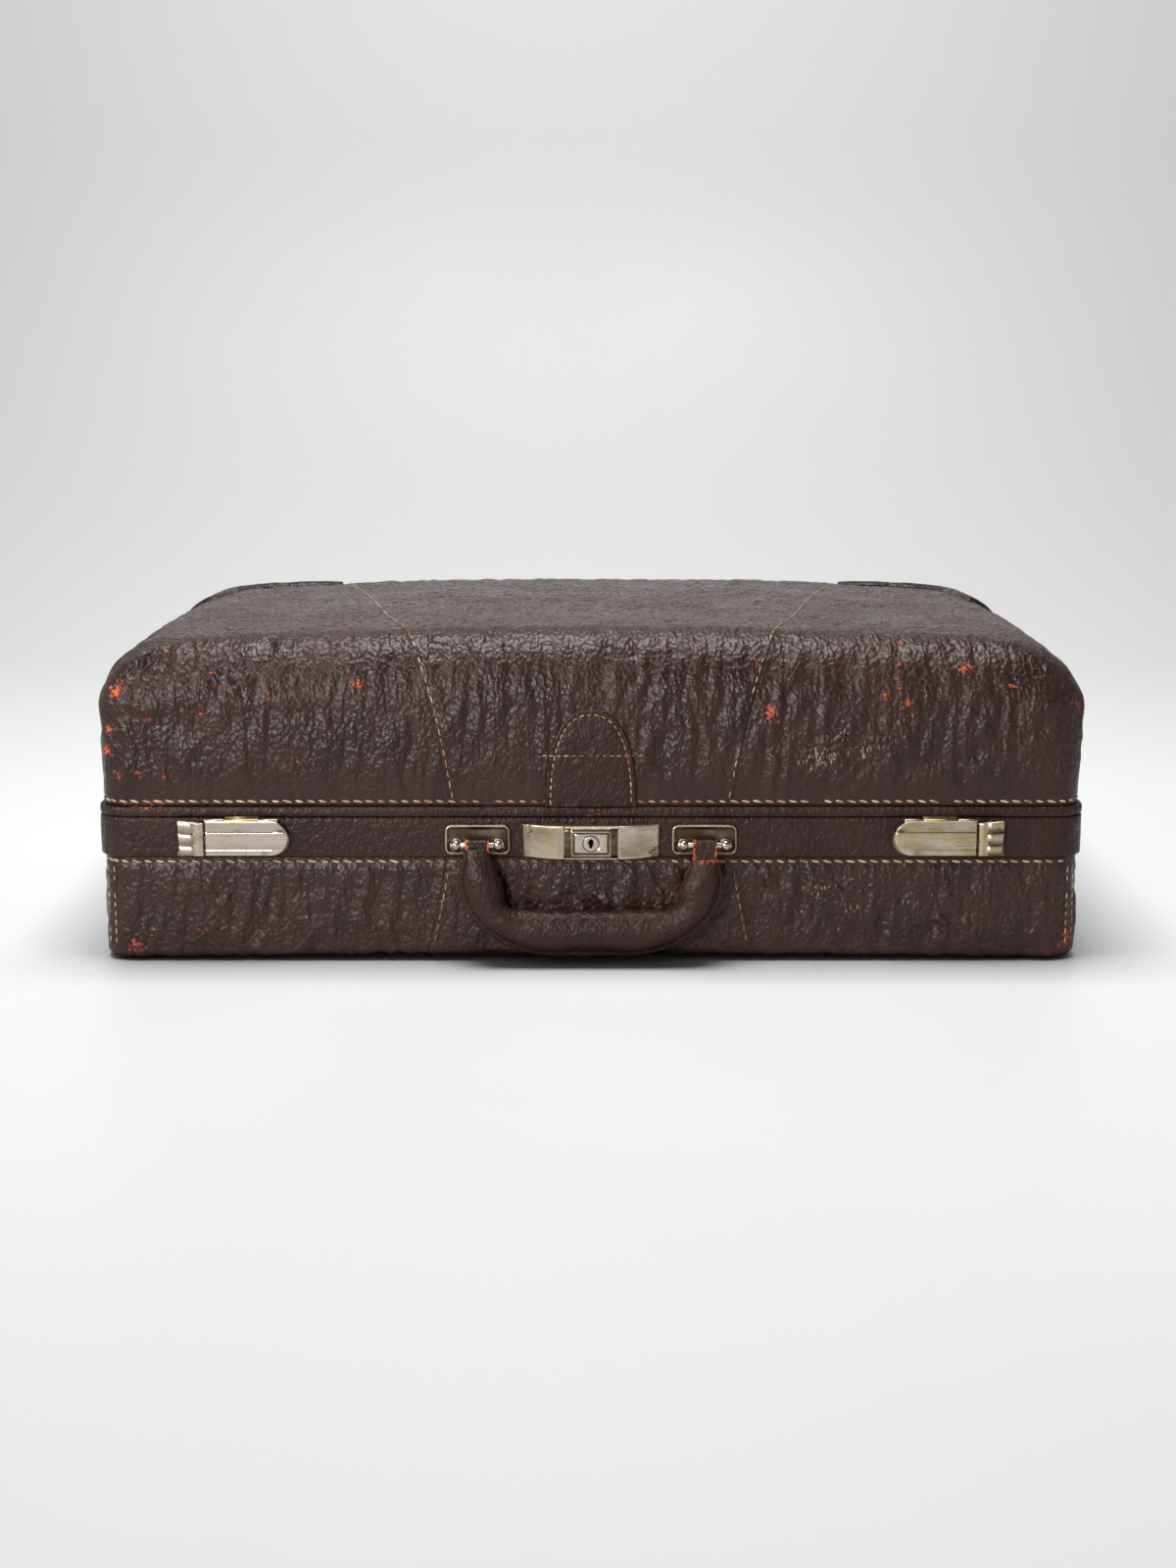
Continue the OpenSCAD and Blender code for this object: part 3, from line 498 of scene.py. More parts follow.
@dataclass(frozen=True)
class Plate(Finish):
    """Old plated metal with brown tarnish, dark streaks and worn spots; its brown layer also lays painted shade where a
    piece asks for it, and its black layer lays painted shade in holes and gaps.
    """

    hue: Colour
    stain: Colour
    dark: Colour
    roughness: float
    amount: float
    brown: Colour = (0.07, 0.042, 0.024, 1.0)
    black: Colour = (0.008, 0.006, 0.005, 1.0)
    rub_size: float = 380.0

    def wire(self, graph: Graph) -> dict:
        """Wires the metal.

        Args:
            graph: The material's graph.

        Returns:
            What feeds the shader, by socket name.
        """
        place = graph.position()
        old = graph.group(tarnish_group(), {"Position": place, "Amount": graph.field("stain") + self.amount})
        worn = graph.group(rub_group(), {"Position": graph.scaled(place, (0.4, 1.0, 1.5)),
                                         "Amount": graph.field("wear"), "Size": self.rub_size})["Mask"]
        hollow_shade = graph.field("hollow_shade")
        patina_and_shade = graph.field("brown") * graph.ramp(old["Cloud"], 0.2, 0.6, 0.7, 1.0)
        # The brown layer is tarnish in some places and painted shade in others; the black layer is painted shade.
        colour = graph.layered(self.hue, (old["Stain"], self.stain), (old["Streak"] * 0.4, self.dark),
                               (patina_and_shade, self.brown), (worn * 0.85, self.dark), (hollow_shade, self.black))
        drawn = graph.noise(graph.scaled(place, (60.0, 400.0, 900.0)), 1.0, 3.0, 0.6)
        return {"Base Color": colour, "Metallic": 1.0,
                "Roughness": old["Stain"] * 0.14 + self.roughness + worn * 0.25 + hollow_shade * 0.5,
                "Normal": graph.bump(0.2, 0.0005, drawn * 0.3 + old["Cloud"])}


@dataclass(frozen=True)
class Thread(Finish):
    """Waxed linen thread, each stitch faded by its own tone."""

    fresh: Colour
    faded: Colour
    dirt: Colour = (0.07, 0.032, 0.018, 1.0)

    def wire(self, graph: Graph) -> dict:
        """Wires the thread.

        Args:
            graph: The material's graph.

        Returns:
            What feeds the shader, by socket name.
        """
        place = graph.position()
        dirty = graph.ramp(graph.noise(place, 120.0, 4.0), 0.45, 0.7, 0.0, 0.75)
        twist = graph.noise(graph.scaled(place, (900.0, 900.0, 900.0)), 1.0, 2.0)
        return {"Base Color": graph.layered(self.fresh, (graph.field("tone"), self.faded), (dirty, self.dirt)),
                "Roughness": graph.ramp(twist, 0.3, 0.7, 0.62, 0.9), "Normal": graph.bump(0.5, 0.0003, twist)}


@dataclass(frozen=True)
class Woven(Finish):
    """Plain woven cotton."""

    hue: Colour
    shade: Colour
    pitch: float = 1400.0

    def wire(self, graph: Graph) -> dict:
        """Wires the cloth.

        Args:
            graph: The material's graph.

        Returns:
            What feeds the shader, by socket name.
        """
        place = graph.position()
        wave = {"Vector": place, "Scale": self.pitch / 6, "Distortion": 0.6}
        across, down = (graph.add("TexWave", wave, "Fac", bands_direction=way) for way in ("X", "DIAGONAL"))
        weave = across * down
        age = graph.noise(place, 9.0, 5.0, 0.65)
        colour = graph.layered(self.hue, (graph.ramp(age, 0.38, 0.68), self.shade), (weave * 0.25, self.shade))
        return {"Base Color": colour, "Roughness": graph.ramp(age, 0.3, 0.7, 0.82, 0.95),
                "Normal": graph.bump(0.4, 0.0004, weave)}


@dataclass(frozen=True)
class Fibre(Finish):
    """Wood or pressed board, with fibres along the case."""

    hue: Colour
    shade: Colour
    draw: Triple

    def wire(self, graph: Graph) -> dict:
        """What feeds the shader, by socket name."""
        fibre = graph.noise(graph.scaled(graph.position(), self.draw), 1.0, 5.0, 0.62)
        return {"Base Color": graph.mix(graph.ramp(fibre, 0.35, 0.65), self.hue, self.shade),
                "Roughness": graph.ramp(fibre, 0.3, 0.7, 0.55, 0.8), "Normal": graph.bump(0.3, 0.0005, fibre)}


GRAINED = Leather("grained_hide", Slot.GRAINED, (0.034, 0.0118, 0.008, 1), (0.0215, 0.0074, 0.0052, 1), 390.0,
                  0.0012, 0.33, gloss=0.34)
SMOOTH = Leather("smooth_hide", Slot.SMOOTH, (0.03, 0.0112, 0.0084, 1), (0.0205, 0.0076, 0.0058, 1), 560.0,
                 0.0006, 0.36, drawn=(1.0, 1.0, 0.8), tan=(0.5, 0.12, 0.03, 1.0))
STEEL = Plate("tarnished_plate", Slot.STEEL, (0.55, 0.48, 0.41, 1), (0.38, 0.29, 0.15, 1), (0.06, 0.034, 0.02, 1),
              0.24, 0.0)
DULL = Plate("browned_plate", Slot.STEEL, (0.3, 0.2, 0.11, 1), (0.13, 0.075, 0.04, 1), (0.05, 0.03, 0.017, 1),
             0.33, 0.2)
BRASS = Plate("rolled_brass", Slot.BRASS, (0.62, 0.45, 0.2, 1), (0.4, 0.26, 0.1, 1), (0.1, 0.06, 0.025, 1), 0.24, 0.0)
THREAD = Thread("waxed_thread", Slot.SMOOTH, (0.62, 0.48, 0.32, 1), (0.34, 0.13, 0.035, 1))
CLOTH = Woven("cotton_lining", Slot.CLOTH, (0.45, 0.34, 0.21, 1), (0.28, 0.19, 0.1, 1))
WOOD = Fibre("rail_beech", Slot.WOOD, (0.36, 0.21, 0.1, 1), (0.22, 0.11, 0.045, 1), (12.0, 60.0, 260.0))
BOARD = Fibre("pressed_board", Slot.BOARD, (0.42, 0.31, 0.19, 1), (0.3, 0.2, 0.11, 1), (160.0, 160.0, 160.0))


# Mesh making


def make_piece(name: str, bm: Mesh, finish: Finish, body: Body, nodes: tuple[str, ...] = (),
               fields: dict[str, list[float]] | None = None, sharp: float = 0.0) -> bpy.types.Object:
    """Turns a mesh in millimetres into a finished piece of the case.

    Args:
        name: The piece's name.
        bm: The mesh, which is used up.
        finish: What it is made of.
        body: The body that it moves with.
        nodes: The frame's nodes that it stands for.
        fields: Values for each vertex that the finish reads.
        sharp: Angle in degrees past which an edge stays sharp, or 0 to smooth all.

    Returns:
        The new object.
    """
    bmesh.ops.scale(bm, vec=(MM, MM, MM), verts=bm.verts)
    mesh = bpy.data.meshes.new(name)
    bm.to_mesh(mesh)
    bm.free()
    for key, values in (fields or {}).items():
        mesh.attributes.new(key, "FLOAT", "POINT").data.foreach_set("value", values)
    mesh.shade_smooth()
    if sharp:
        mesh.set_sharp_from_angle(angle=math.radians(sharp))
    piece = bpy.data.objects.new(name, mesh)
    bpy.context.scene.collection.objects.link(piece)
    mesh.materials.append(finish.material())
    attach(piece, body.value)
    if nodes:
        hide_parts(*nodes)
    LOG.info("%s: %d faces on %s", name, len(mesh.polygons), body.value)
    return piece


def mapped_grid(columns: int, rows: int, place: Place, weld: bool = True) -> Mesh:
    """Bends a flat grid into a surface.

    Args:
        columns: Cells along the first direction.
        rows: Cells along the second direction.
        place: Where a share of each direction, from 0 to 1, goes, in millimetres.
        weld: Whether seams and poles are joined.

    Returns:
        The mesh, with its normals outward if it is closed.
    """
    bm = bmesh.new()
    bmesh.ops.create_grid(bm, x_segments=columns, y_segments=rows, size=1.0)
    for vert in bm.verts:
        vert.co = place((vert.co.x + 1) / 2, (vert.co.y + 1) / 2)
    if weld:
        bmesh.ops.remove_doubles(bm, verts=bm.verts, dist=WELD)
    bmesh.ops.recalc_face_normals(bm, faces=bm.faces)
    return bm


def ringed(count: int, rows: list[tuple[float, float]], place: Callable[[float, float, float], Vector]) -> Mesh:
    """A surface of rings, placed by a share of the way round and each ring's own pair of sizes."""
    last = len(rows) - 1
    return mapped_grid(count, last, lambda u, v: place(u, *rows[round(v * last)]))


def rim_edges(bm: Mesh) -> list[bmesh.types.BMEdge]:
    """The edges at the open rims of a mesh."""
    return [edge for edge in bm.edges if edge.is_boundary]


def fill_back(bm: Mesh) -> None:
    """Closes each open rim of a relief with one flat face."""
    bmesh.ops.edgeloop_fill(bm, edges=rim_edges(bm))
    bmesh.ops.recalc_face_normals(bm, faces=bm.faces)


def thicken(bm: Mesh, thickness: float) -> None:
    """Gives an open sheet its thickness."""
    bmesh.ops.solidify(bm, geom=bm.faces[:], thickness=thickness)
    bmesh.ops.recalc_face_normals(bm, faces=bm.faces)


def face_out(bm: Mesh, outward: Vector) -> None:
    """Turns an open sheet so that it faces a direction.

    Args:
        bm: The sheet.
        outward: The direction.
    """
    bm.normal_update()
    total = sum((face.normal * face.calc_area() for face in bm.faces), Vector())
    if total.dot(outward) < 0:
        bmesh.ops.reverse_faces(bm, faces=bm.faces)


def turn_rim(bm: Mesh, inward: float) -> None:
    """Turns the open rim of a skin inward, so that its edge shows the leather's thickness.

    Args:
        bm: The skin.
        inward: How far the edge goes in.
    """
    made = bmesh.ops.extrude_edge_only(bm, edges=rim_edges(bm))["geom"]
    for vert in (item for item in made if isinstance(item, bmesh.types.BMVert)):
        vert.co.x -= math.copysign(inward, vert.co.x) * min(1.0, abs(vert.co.x) / inward)
        vert.co.y -= math.copysign(inward, vert.co.y) * min(1.0, abs(vert.co.y) / inward)


def add_block(bm: Mesh, a: Vector, b: Vector, round_by: float = 0.1) -> None:
    """Adds a block with eased edges.

    Args:
        bm: The mesh that it is added to.
        a: One of its corners.
        b: The corner across from it.
        round_by: How far its edges are eased.
    """
    low, high = Vector(map(min, a, b)), Vector(map(max, a, b))
    matrix = Matrix.Translation((low + high) / 2) @ Matrix.Diagonal((*(high - low), 1.0))
    verts = bmesh.ops.create_cube(bm, size=1.0, matrix=matrix)["verts"]
    edges = list(dict.fromkeys(edge for vert in verts for edge in vert.link_edges))
    bmesh.ops.bevel(bm, geom=edges, offset=round_by, segments=2, profile=0.5, affect="EDGES", material=-1)


def add_rod(bm: Mesh, start: Vector, end: Vector, radius: float, segments: int = 24) -> None:
    """Adds a rod with eased ends.

    Args:
        bm: The mesh that it is added to.
        start: Middle of one end.
        end: Middle of the other end.
        radius: The rod's radius.
        segments: Cells round it.
    """
    axis = end - start
    matrix = Matrix.Translation((start + end) / 2) @ axis.to_track_quat("Z", "Y").to_matrix().to_4x4()
    verts = bmesh.ops.create_cone(bm, cap_ends=True, segments=segments, radius1=radius, radius2=radius,
                                  depth=axis.length, matrix=matrix)["verts"]
    ends = dict.fromkeys(face for vert in verts for face in vert.link_faces if len(face.verts) == segments)
    edges = list(dict.fromkeys(edge for face in ends for edge in face.edges))
    bmesh.ops.bevel(bm, geom=edges, offset=radius * 0.18, segments=2, profile=0.5, affect="EDGES", material=-1)


@dataclass(frozen=True)
class Outline:
    """A rounded rectangle seen from above, with half sizes a and b."""

    a: float
    b: float
    r: float

    def length(self, turn: int) -> float:
        """Length of one side, from the middle of a corner to the middle of the next."""
        return 2 * ((self.a if turn % 2 == 0 else self.b) - self.r) + math.pi * self.r / 2

    def side(self, turn: int, share: float) -> tuple[Vector, Vector]:
        """A point of one side, which runs from the middle of a corner to the middle of the next.

        Args:
            turn: 0 front, 1 right, 2 back, 3 left.
            share: How far along the side, from 0 to 1.

        Returns:
            The point and the outward normal.
        """
        long, deep = (self.a, self.b) if turn % 2 == 0 else (self.b, self.a)
        arc, run = math.pi * self.r / 4, 2 * (long - self.r)
        s = share * (run + 2 * arc)
        angle, x = 0.0, s - arc - run / 2
        if s < arc:
            angle, x = (s - arc) / self.r, -run / 2
        elif s > arc + run:
            angle, x = (s - arc - run) / self.r, run / 2
        normal = Vector((math.sin(angle), -math.cos(angle), 0.0))
        point = Vector((x, -(deep - self.r), 0.0)) + normal * self.r
        spin = Matrix.Rotation(turn * math.pi / 2, 3, "Z")
        return spin @ point, spin @ normal

    def around(self, share: float) -> tuple[Vector, Vector]:
        """A point of the whole outline.

        Args:
            share: How far round, from 0 to 1.

        Returns:
            The point and the outward normal.
        """
        lengths = [self.length(turn) for turn in range(4)]
        s = (share % 1.0) * 2 * (lengths[0] + lengths[1])
        turn = 0
        while turn < 3 and s > lengths[turn]:
            s -= lengths[turn]
            turn += 1
        return self.side(turn, min(1.0, s / lengths[turn]))

    def grown(self, by: float) -> "Outline":
        """The same outline, moved out."""
        return Outline(self.a + by, self.b + by, self.r + by)

    def path(self, z: float, count: int) -> Path:
        """A closed path round the outline at one height."""
        made = [self.around(i / count) for i in range(count + 1)]
        return [(Vector((p.x, p.y, z)), n) for p, n in made]

    def corner_gap(self, p: Vector, gap: float) -> float:
        """Distance from the middle line of an upright corner.

        Args:
            p: A point of the ring.
            gap: What is given back away from the corners.

        Returns:
            The signed distance round the corner.
        """
        over_x, over_y = abs(p.x) - self.a + self.r, abs(p.y) - self.b + self.r
        if over_x > 0 and over_y > 0:
            return (math.atan2(over_y, over_x) - math.pi / 4) * self.r
        return gap


@dataclass(frozen=True)
class CaseSizes:
    """Main sizes of the case in millimetres, read from the frame."""

    half_w: float
    half_d: float
    base_h: float
    band: Outline
    part_z: float
    strip_low: float
    strip_top: float
    lid_low: float
    crown: float
    corner_r: float = 20.0

    @classmethod
    def read(cls) -> "CaseSizes":
        """Reads the sizes from the frame's nodes.

        Returns:
            The sizes.
        """
        leather, band = mm_box("base_leather")[1], mm_box("base_band")[1]
        strip_low, strip_top = mm_box("lid_strip")
        lid_low, lid_top = mm_box("lid_leather")
        outline = Outline(band.x, band.y, cls.corner_r + band.x - leather.x)
        return cls(leather.x, leather.y, leather.z, outline, band.z, strip_low.z, strip_top.z, lid_low.z, lid_top.z)

    def front(self, x: float, f: float, z: float) -> Vector:
        """A point a distance f in front of the band's face."""
        return Vector((x, -(self.band.b + f), z))

    def ahead(self, p: Vector) -> float:
        """How far a point lies in front of the band's face."""
        return -p.y - self.band.b


CASE = CaseSizes.read()


@dataclass(frozen=True)
class LidShell:
    """The lid's swelling outside, or a shell inside it."""

    inset: float = 0.0
    low: float = CASE.lid_low
    swell: float = 2.2
    crown_x: float = 7.0
    crown_y: float = 3.0
    shoulder_x: float = 44.0
    shoulder_y: float = 42.0
    shoulder_z: float = 43.0
    corner_grow: float = 10.0
    puff: float = 2.5
    lean: float = 5.0
    wall_part: float = 0.53

    def dome(self, x: float, y: float) -> float:
        """Height of the top.

        Args:
            x: Place across the lid.
            y: Place along its depth.

        Returns:
            The height.
        """
        rim = CASE.crown - self.crown_x - self.crown_y
        rise = self.crown_x * (1 - (x / CASE.half_w) ** 2) + self.crown_y * (1 - (y / CASE.half_d) ** 2)
        puff = self.puff * (1 - (x / CASE.half_w) ** 2) * (1 - (min(y, 0.0) / CASE.half_d) ** 2)
        return rim + rise + puff

    def level(self, share: float) -> float:
        """Level of a ring: 0 to 1 up the wall, 1 to 2 over the shoulder."""
        if share < self.wall_part:
            return share / self.wall_part
        return 1 + (share - self.wall_part) / (1 - self.wall_part)

    def tilt(self, share: float) -> float:
        """Angle that the surface leans back by on the shoulder."""
        return math.pi / 2 * clamp(self.level(share) - 1)

    def outline(self, share: float) -> Outline:
        """The ring at a share of the way up wall and shoulder.

        Args:
            share: The share, from 0 to 1.

        Returns:
            The ring.
        """
        level = min(1.0, self.level(share))
        out = self.swell * level ** 1.7 - self.inset
        back = 1 - math.cos(self.tilt(share))
        lean = self.lean * level ** 3
        return Outline(CASE.half_w + out - (self.shoulder_x - self.inset) * back,
                       CASE.half_d + out - lean - (self.shoulder_y - self.lean - self.inset) * back,
                       CASE.corner_r + out + self.corner_grow * back)

    def height(self, share: float, x: float, y: float) -> float:
        """Height of a ring above a place on the floor.

        Args:
            share: Share of the way up.
            x: Place across the lid.
            y: Place along its depth.

        Returns:
            The height.
        """
        level, top = self.level(min(1.0, share)), self.dome(x, y)
        if level <= 1:
            return self.low + level * (top - self.shoulder_z - self.low)
        turn = math.pi / 2 * (level - 1)
        return top - self.inset - (self.shoulder_z - self.inset) * (1 - math.sin(turn))

    def place(self, turn: int, along_side: float, share: float, lift: float = 0.0) -> tuple[Vector, Vector]:
        """A point of the wall or shoulder.

        Args:
            turn: Side of the outline.
            along_side: Share along that side.
            share: Share of the way up.
            lift: How far out from the surface.

        Returns:
            The point and the outward normal.
        """
        flat, out = self.outline(share).side(turn, along_side)
        tilt = self.tilt(share)
        normal = (out * math.cos(tilt) + Vector((0, 0, math.sin(tilt)))).normalized()
        return Vector((flat.x, flat.y, self.height(share, flat.x, flat.y))) + normal * lift, normal

    def front_y(self, z: float, x: float = 0.0) -> float:
        """How far forward the front wall stands at a height."""
        level = clamp((z - self.low) / (self.dome(x, CASE.half_d) - self.shoulder_z - self.low))
        return CASE.half_d - self.inset + self.swell * level ** 1.7 - self.lean * level ** 3


@dataclass(frozen=True)
class TubShell:
    """The base's outside, or a shell inside it, from its rim down to its floor."""

    inset: float = 0.0
    top: float = CASE.base_h
    floor: float = 0.0
    edge_r: float = 5.0
    tuck: float = 0.8
    wall_part: float = 0.8

    def turn(self, share: float) -> float:
        """Angle that the surface has turned in by under the bottom edge."""
        return math.pi / 2 * max(0.0, share - self.wall_part) / (1 - self.wall_part)

    def outline(self, share: float) -> Outline:
        """The ring at a share of the way down wall and bottom edge.

        Args:
            share: The share, from 0 to 1.

        Returns:
            The ring.
        """
        back = self.edge_r * (1 - math.cos(self.turn(share)))
        tuck = self.tuck * (1 - min(1.0, share / self.wall_part)) ** 2
        return Outline(CASE.half_w, CASE.half_d, CASE.corner_r).grown(-self.inset - back - tuck)

    def height(self, share: float, x: float, y: float) -> float:
        """Height of a ring, the same all over the floor.

        Args:
            share: Share of the way down.
            x: Place across the base; not used.
            y: Place along its depth; not used.

        Returns:
            The height.
        """
        low = self.floor + self.edge_r
        if share <= self.wall_part:
            return self.top + (low - self.top) * share / self.wall_part
        return low - self.edge_r * math.sin(self.turn(min(1.0, share)))


def wrap_grid(shell: LidShell | TubShell, columns: int, rows: int, rings: int) -> tuple[Mesh, list[float]]:
    """Bends one grid over a shell: its outer rings make the wall, its middle the flat.

    Args:
        shell: The form to cover.
        columns: Cells along the width.
        rows: Cells along the depth.
        rings: Cells from the rim to the flat.

    Returns:
        The mesh, and each vertex's share of the way from the rim to the flat.
    """
    bm = bmesh.new()
    bmesh.ops.create_grid(bm, x_segments=columns, y_segments=rows, size=1.0)
    outlines = [shell.outline(k / rings) for k in range(rings + 1)]
    wide, deep = columns - 2 * rings, rows - 2 * rings
    front = [outlines[rings].side(0, i / wide)[0] for i in range(wide + 1)]
    right = [outlines[rings].side(1, j / deep)[0] for j in range(deep + 1)]
    back = [Vector((p.x, -p.y, 0.0)) for p in front]
    shares = []
    for vert in bm.verts:
        i = round((vert.co.x + 1) / 2 * columns)
        j = round((vert.co.y + 1) / 2 * rows)
        k = min(i, columns - i, j, rows - j)
        if k <= rings:
            across, down = (i - k) / (columns - 2 * k), (j - k) / (rows - 2 * k)
            turn = 0 if j == k else 1 if i == columns - k else 2 if j == rows - k else 3
            flat = outlines[k].side(turn, (across, down, 1 - across, 1 - down)[turn])[0]
        else:
            i, j = i - rings, j - rings
            u, v = i / wide, j / deep
            left = Vector((-right[j].x, right[j].y, 0.0))
            corners = ((1 - u) * (1 - v) * front[0] + u * (1 - v) * front[-1]
                       + (1 - u) * v * back[0] + u * v * back[-1])
            flat = (1 - v) * front[i] + v * back[i] + (1 - u) * left + u * right[j] - corners
        share = k / rings
        vert.co = Vector((flat.x, flat.y, shell.height(share, flat.x, flat.y)))
        shares.append(share)
    bmesh.ops.recalc_face_normals(bm, faces=bm.faces)
    bm.normal_update()
    return bm, shares


# Stitching


@dataclass(frozen=True)
class Stitching:
    """A run of saddle stitches along a path."""

    pitch: float = 7.2
    length: float = 5.7
    width: float = 1.6
    height: float = 1.05
    slant: float = -11.0
    lost: float = 0.02
    dulled: float = 0.0

    def sew(self, bm: Mesh, path: Path, seed: int, fade: float) -> None:
        """Lays the stitches.

        Args:
            bm: The mesh that they are added to.
            path: Points and normals along the seam.
            seed: Seed of this seam's own wear.
            fade: How faded the thread is, from 0 to 1.
        """
        rng = random.Random(seed)
        tone = bm.verts.layers.float.get("tone") or bm.verts.layers.float.new("tone")
        travelled, due = 0.0, self.pitch / 2
        for (p0, n0), (p1, _) in zip(path, path[1:]):
            step = (p1 - p0).length
            while step > 0 and due <= travelled + step:
                middle = p0.lerp(p1, (due - travelled) / step)
                dull = self.dulled * bell(middle.x, -20, 95) * (middle.y < 0)
                shade = clamp(rng.gauss(fade + dull, 0.22))
                lean = math.radians(self.slant + rng.uniform(-4, 4))
                gone = rng.random() < self.lost
                stretch = rng.uniform(0.82, 1.08)
                due += self.pitch
                if gone:
                    continue
                axis = Matrix.Rotation(lean, 3, n0) @ (p1 - p0).normalized()
                matrix = Matrix((n0.cross(axis) * self.width / 2, n0 * self.height / 2,
                                 axis * self.length / 2 * stretch))
                matrix = Matrix.Translation(middle) @ matrix.transposed().to_4x4()
                made = bmesh.ops.create_uvsphere(bm, u_segments=6, v_segments=5, radius=1.0, matrix=matrix)
                for vert in made["verts"]:
                    vert[tone] = shade
            travelled += step


HEM = Stitching(dulled=0.8)
LAP = Stitching(pitch=6.6, length=5.0, width=1.0, height=0.7, slant=0.0, lost=0.12)
TAB_ROW = Stitching(pitch=4.6, length=3.5, width=1.0, height=0.8, slant=4.0, lost=0.03)
CORNER_ROW = Stitching(pitch=5.6, length=4.0, width=1.1, height=0.8, slant=0.0, lost=0.1)


def sewn(name: str, body: Body, kind: Stitching, runs: Iterable[tuple[Path, int, float]]) -> None:
    """Sews some runs of stitches as one piece.

    Args:
        name: The piece's name.
        body: The body that it moves with.
        kind: The kind of stitch.
        runs: Path, seed and fading of each run.
    """
    bm = bmesh.new()
    for path, seed, fade in runs:
        kind.sew(bm, path, seed, fade)
    make_piece(name, bm, THREAD, body)


# Wear


@dataclass(frozen=True)
class Rub:
    """A rubbed place on the front: its centre, reach, strength and how tall it is for its width."""

    x: float
    z: float
    reach: float
    strength: float
    tall: float = 1.0


def rubs(*rows: tuple[float, ...]) -> tuple[Rub, ...]:
    """Rubbed places from rows of their values."""
    return tuple(Rub(*row) for row in rows)


LID_RUBS = rubs(
    (-290, 168, 6.5, 0.95), (-286, 172, 5.2, 0.70), (-297, 131, 5.2, 0.72), (-294, 145, 5.2, 0.70),
    (-274, 158, 5.2, 0.72), (-270, 152, 5.2, 0.72), (-260, 115, 5.2, 0.70), (-277, 118, 5.2, 0.76),
    (-289, 117, 5.2, 0.72), (-227, 169, 6.5, 0.72), (-238, 155, 5.2, 0.65), (-197, 166, 6.5, 0.65),
    (-143, 173, 6.5, 0.90), (-141, 164, 5.2, 0.70), (-178, 125, 5.2, 0.68), (-231, 179, 5.2, 0.65),
    (-300, 176, 6.5, 0.70), (-270, 100, 31.2, 0.72, 0.14), (104, 172, 6.5, 0.60), (109, 156, 6.5, 0.90),
    (114, 150, 5.2, 0.76), (100, 186, 5.2, 0.72), (178, 165, 6.5, 0.72), (186, 172, 6.5, 0.70),
    (192, 160, 6.5, 0.80), (196, 153, 5.2, 0.70), (189, 185, 5.2, 0.70), (184, 196, 18.2, 0.65, 0.2),
    (228, 181, 7.8, 0.76), (256, 170, 6.5, 0.74), (252, 156, 5.2, 0.65), (300, 182, 7.8, 0.76),
    (298, 160, 7.8, 0.60), (20, 182, 5.2, 0.60), (60, 140, 6.5, 0.55))
BASE_RUBS = rubs(
    (-282, 10, 11, 0.68), (-274, 14, 9, 0.6), (-240, 20, 8, 0.62), (-209, 35, 6, 0.56), (-262, 63, 16, 0.68, 0.2),
    (293, 12, 10, 0.66), (300, 30, 7, 0.66), (283, 6, 9, 0.62), (-298, 40, 8, 0.5), (230, 16, 7, 0.54),
    (270, 9, 6, 0.5), (297, 48, 5, 0.5))
LID_SCUFFS = rubs((140, 127, 26, 0.64, 0.6), (165, 131, 22, 0.6, 0.6), (150, 142, 10, 0.56), (262, 150, 14, 0.4, 1.6))
BASE_SCUFFS = rubs((140, 44, 16, 0.62), (160, 36, 14, 0.56), (128, 32, 8, 0.5), (-60, 40, 18, 0.3))


def rubbed(spots: tuple[Rub, ...], p: Vector) -> float:
    """The strongest rubbing at a point of the front half.

    Args:
        spots: The rubbed places.
        p: The point.

    Returns:
        The amount, 0 on the rear half.
    """
    found = 0.0
    if p.y > 0:
        return found
    for spot in spots:
        dx, dz = (p.x - spot.x) / spot.reach, (p.z - spot.z) / (spot.reach * spot.tall)
        square = dx * dx + dz * dz
        if square < 4:
            found = max(found, spot.strength * math.exp(-square))
    return found


def end_wear(p: Vector) -> float:
    """Patchy rubbing at the two ends of a band round the case."""
    return 0.34 * ease(284, 302, abs(p.x)) * ease(0.0, 0.5, noise.noise(p / 7) + 0.2)


# Skins and bands


def cover(name: str, bm: Mesh, moves: list[Vector], seams: list[float], body: Body, node: str,
          worn: Callable[[Vector], Triple]) -> None:
    """Moves a bent grid into its wrinkled shape, and finishes it as a leather cover.

    Args:
        name: The piece's name.
        bm: The grid.
        moves: How far each vertex goes.
        seams: Each vertex's distance from the nearest seam, or from the lid's corner fold whose dark line is painted
            shade, counted from SEAM_ZERO.
        body: The body that it moves with.
        node: The node that it stands for.
        worn: Gives the wear, the scuffing and the calm of a point.
    """
    for vert, move in zip(bm.verts, moves):
        vert.co += move
        vert.co.z = max(vert.co.z, 0.0)
    turn_rim(bm, LEATHER_T)
    wear, scuff, calm = map(list, zip(*(worn(vert.co) for vert in bm.verts)))
    seams = seams + [SEAM_ZERO + SEAM_FAR] * (len(wear) - len(seams))
    make_piece(name, bm, GRAINED, body, (node,), {"wear": wear, "scuff": scuff, "seam": seams, "calm": calm})


def bound_ring(profile: list[tuple[float, float]], waver: float, count: int = 760) -> Mesh:
    """A closed band that follows the case's outline.

    Args:
        profile: Section as (distance out of the band's face, height).
        waver: How much the leather wavers, in millimetres.
        count: Cells round the outline.

    Returns:
        The mesh.
    """

    def place(u: float, out: float, z: float) -> Vector:
        """One point of the band.

        Args:
            u: Share of the way round.
            out: Its ring's distance out of the band's face.
            z: Its ring's height.

        Returns:
            The point.
        """
        point, normal = CASE.band.grown(out).around(u)
        if out > -1.0:
            spot = Vector((point.x / 26, point.y / 26, z / 9))
            point = point + normal * waver * noise.noise(spot)
            z += 0.5 * waver * noise.noise(spot + Vector((5, 5, 5)))
        return Vector((point.x, point.y, z))

    return ringed(count, profile + profile[:1], place)


# The lid


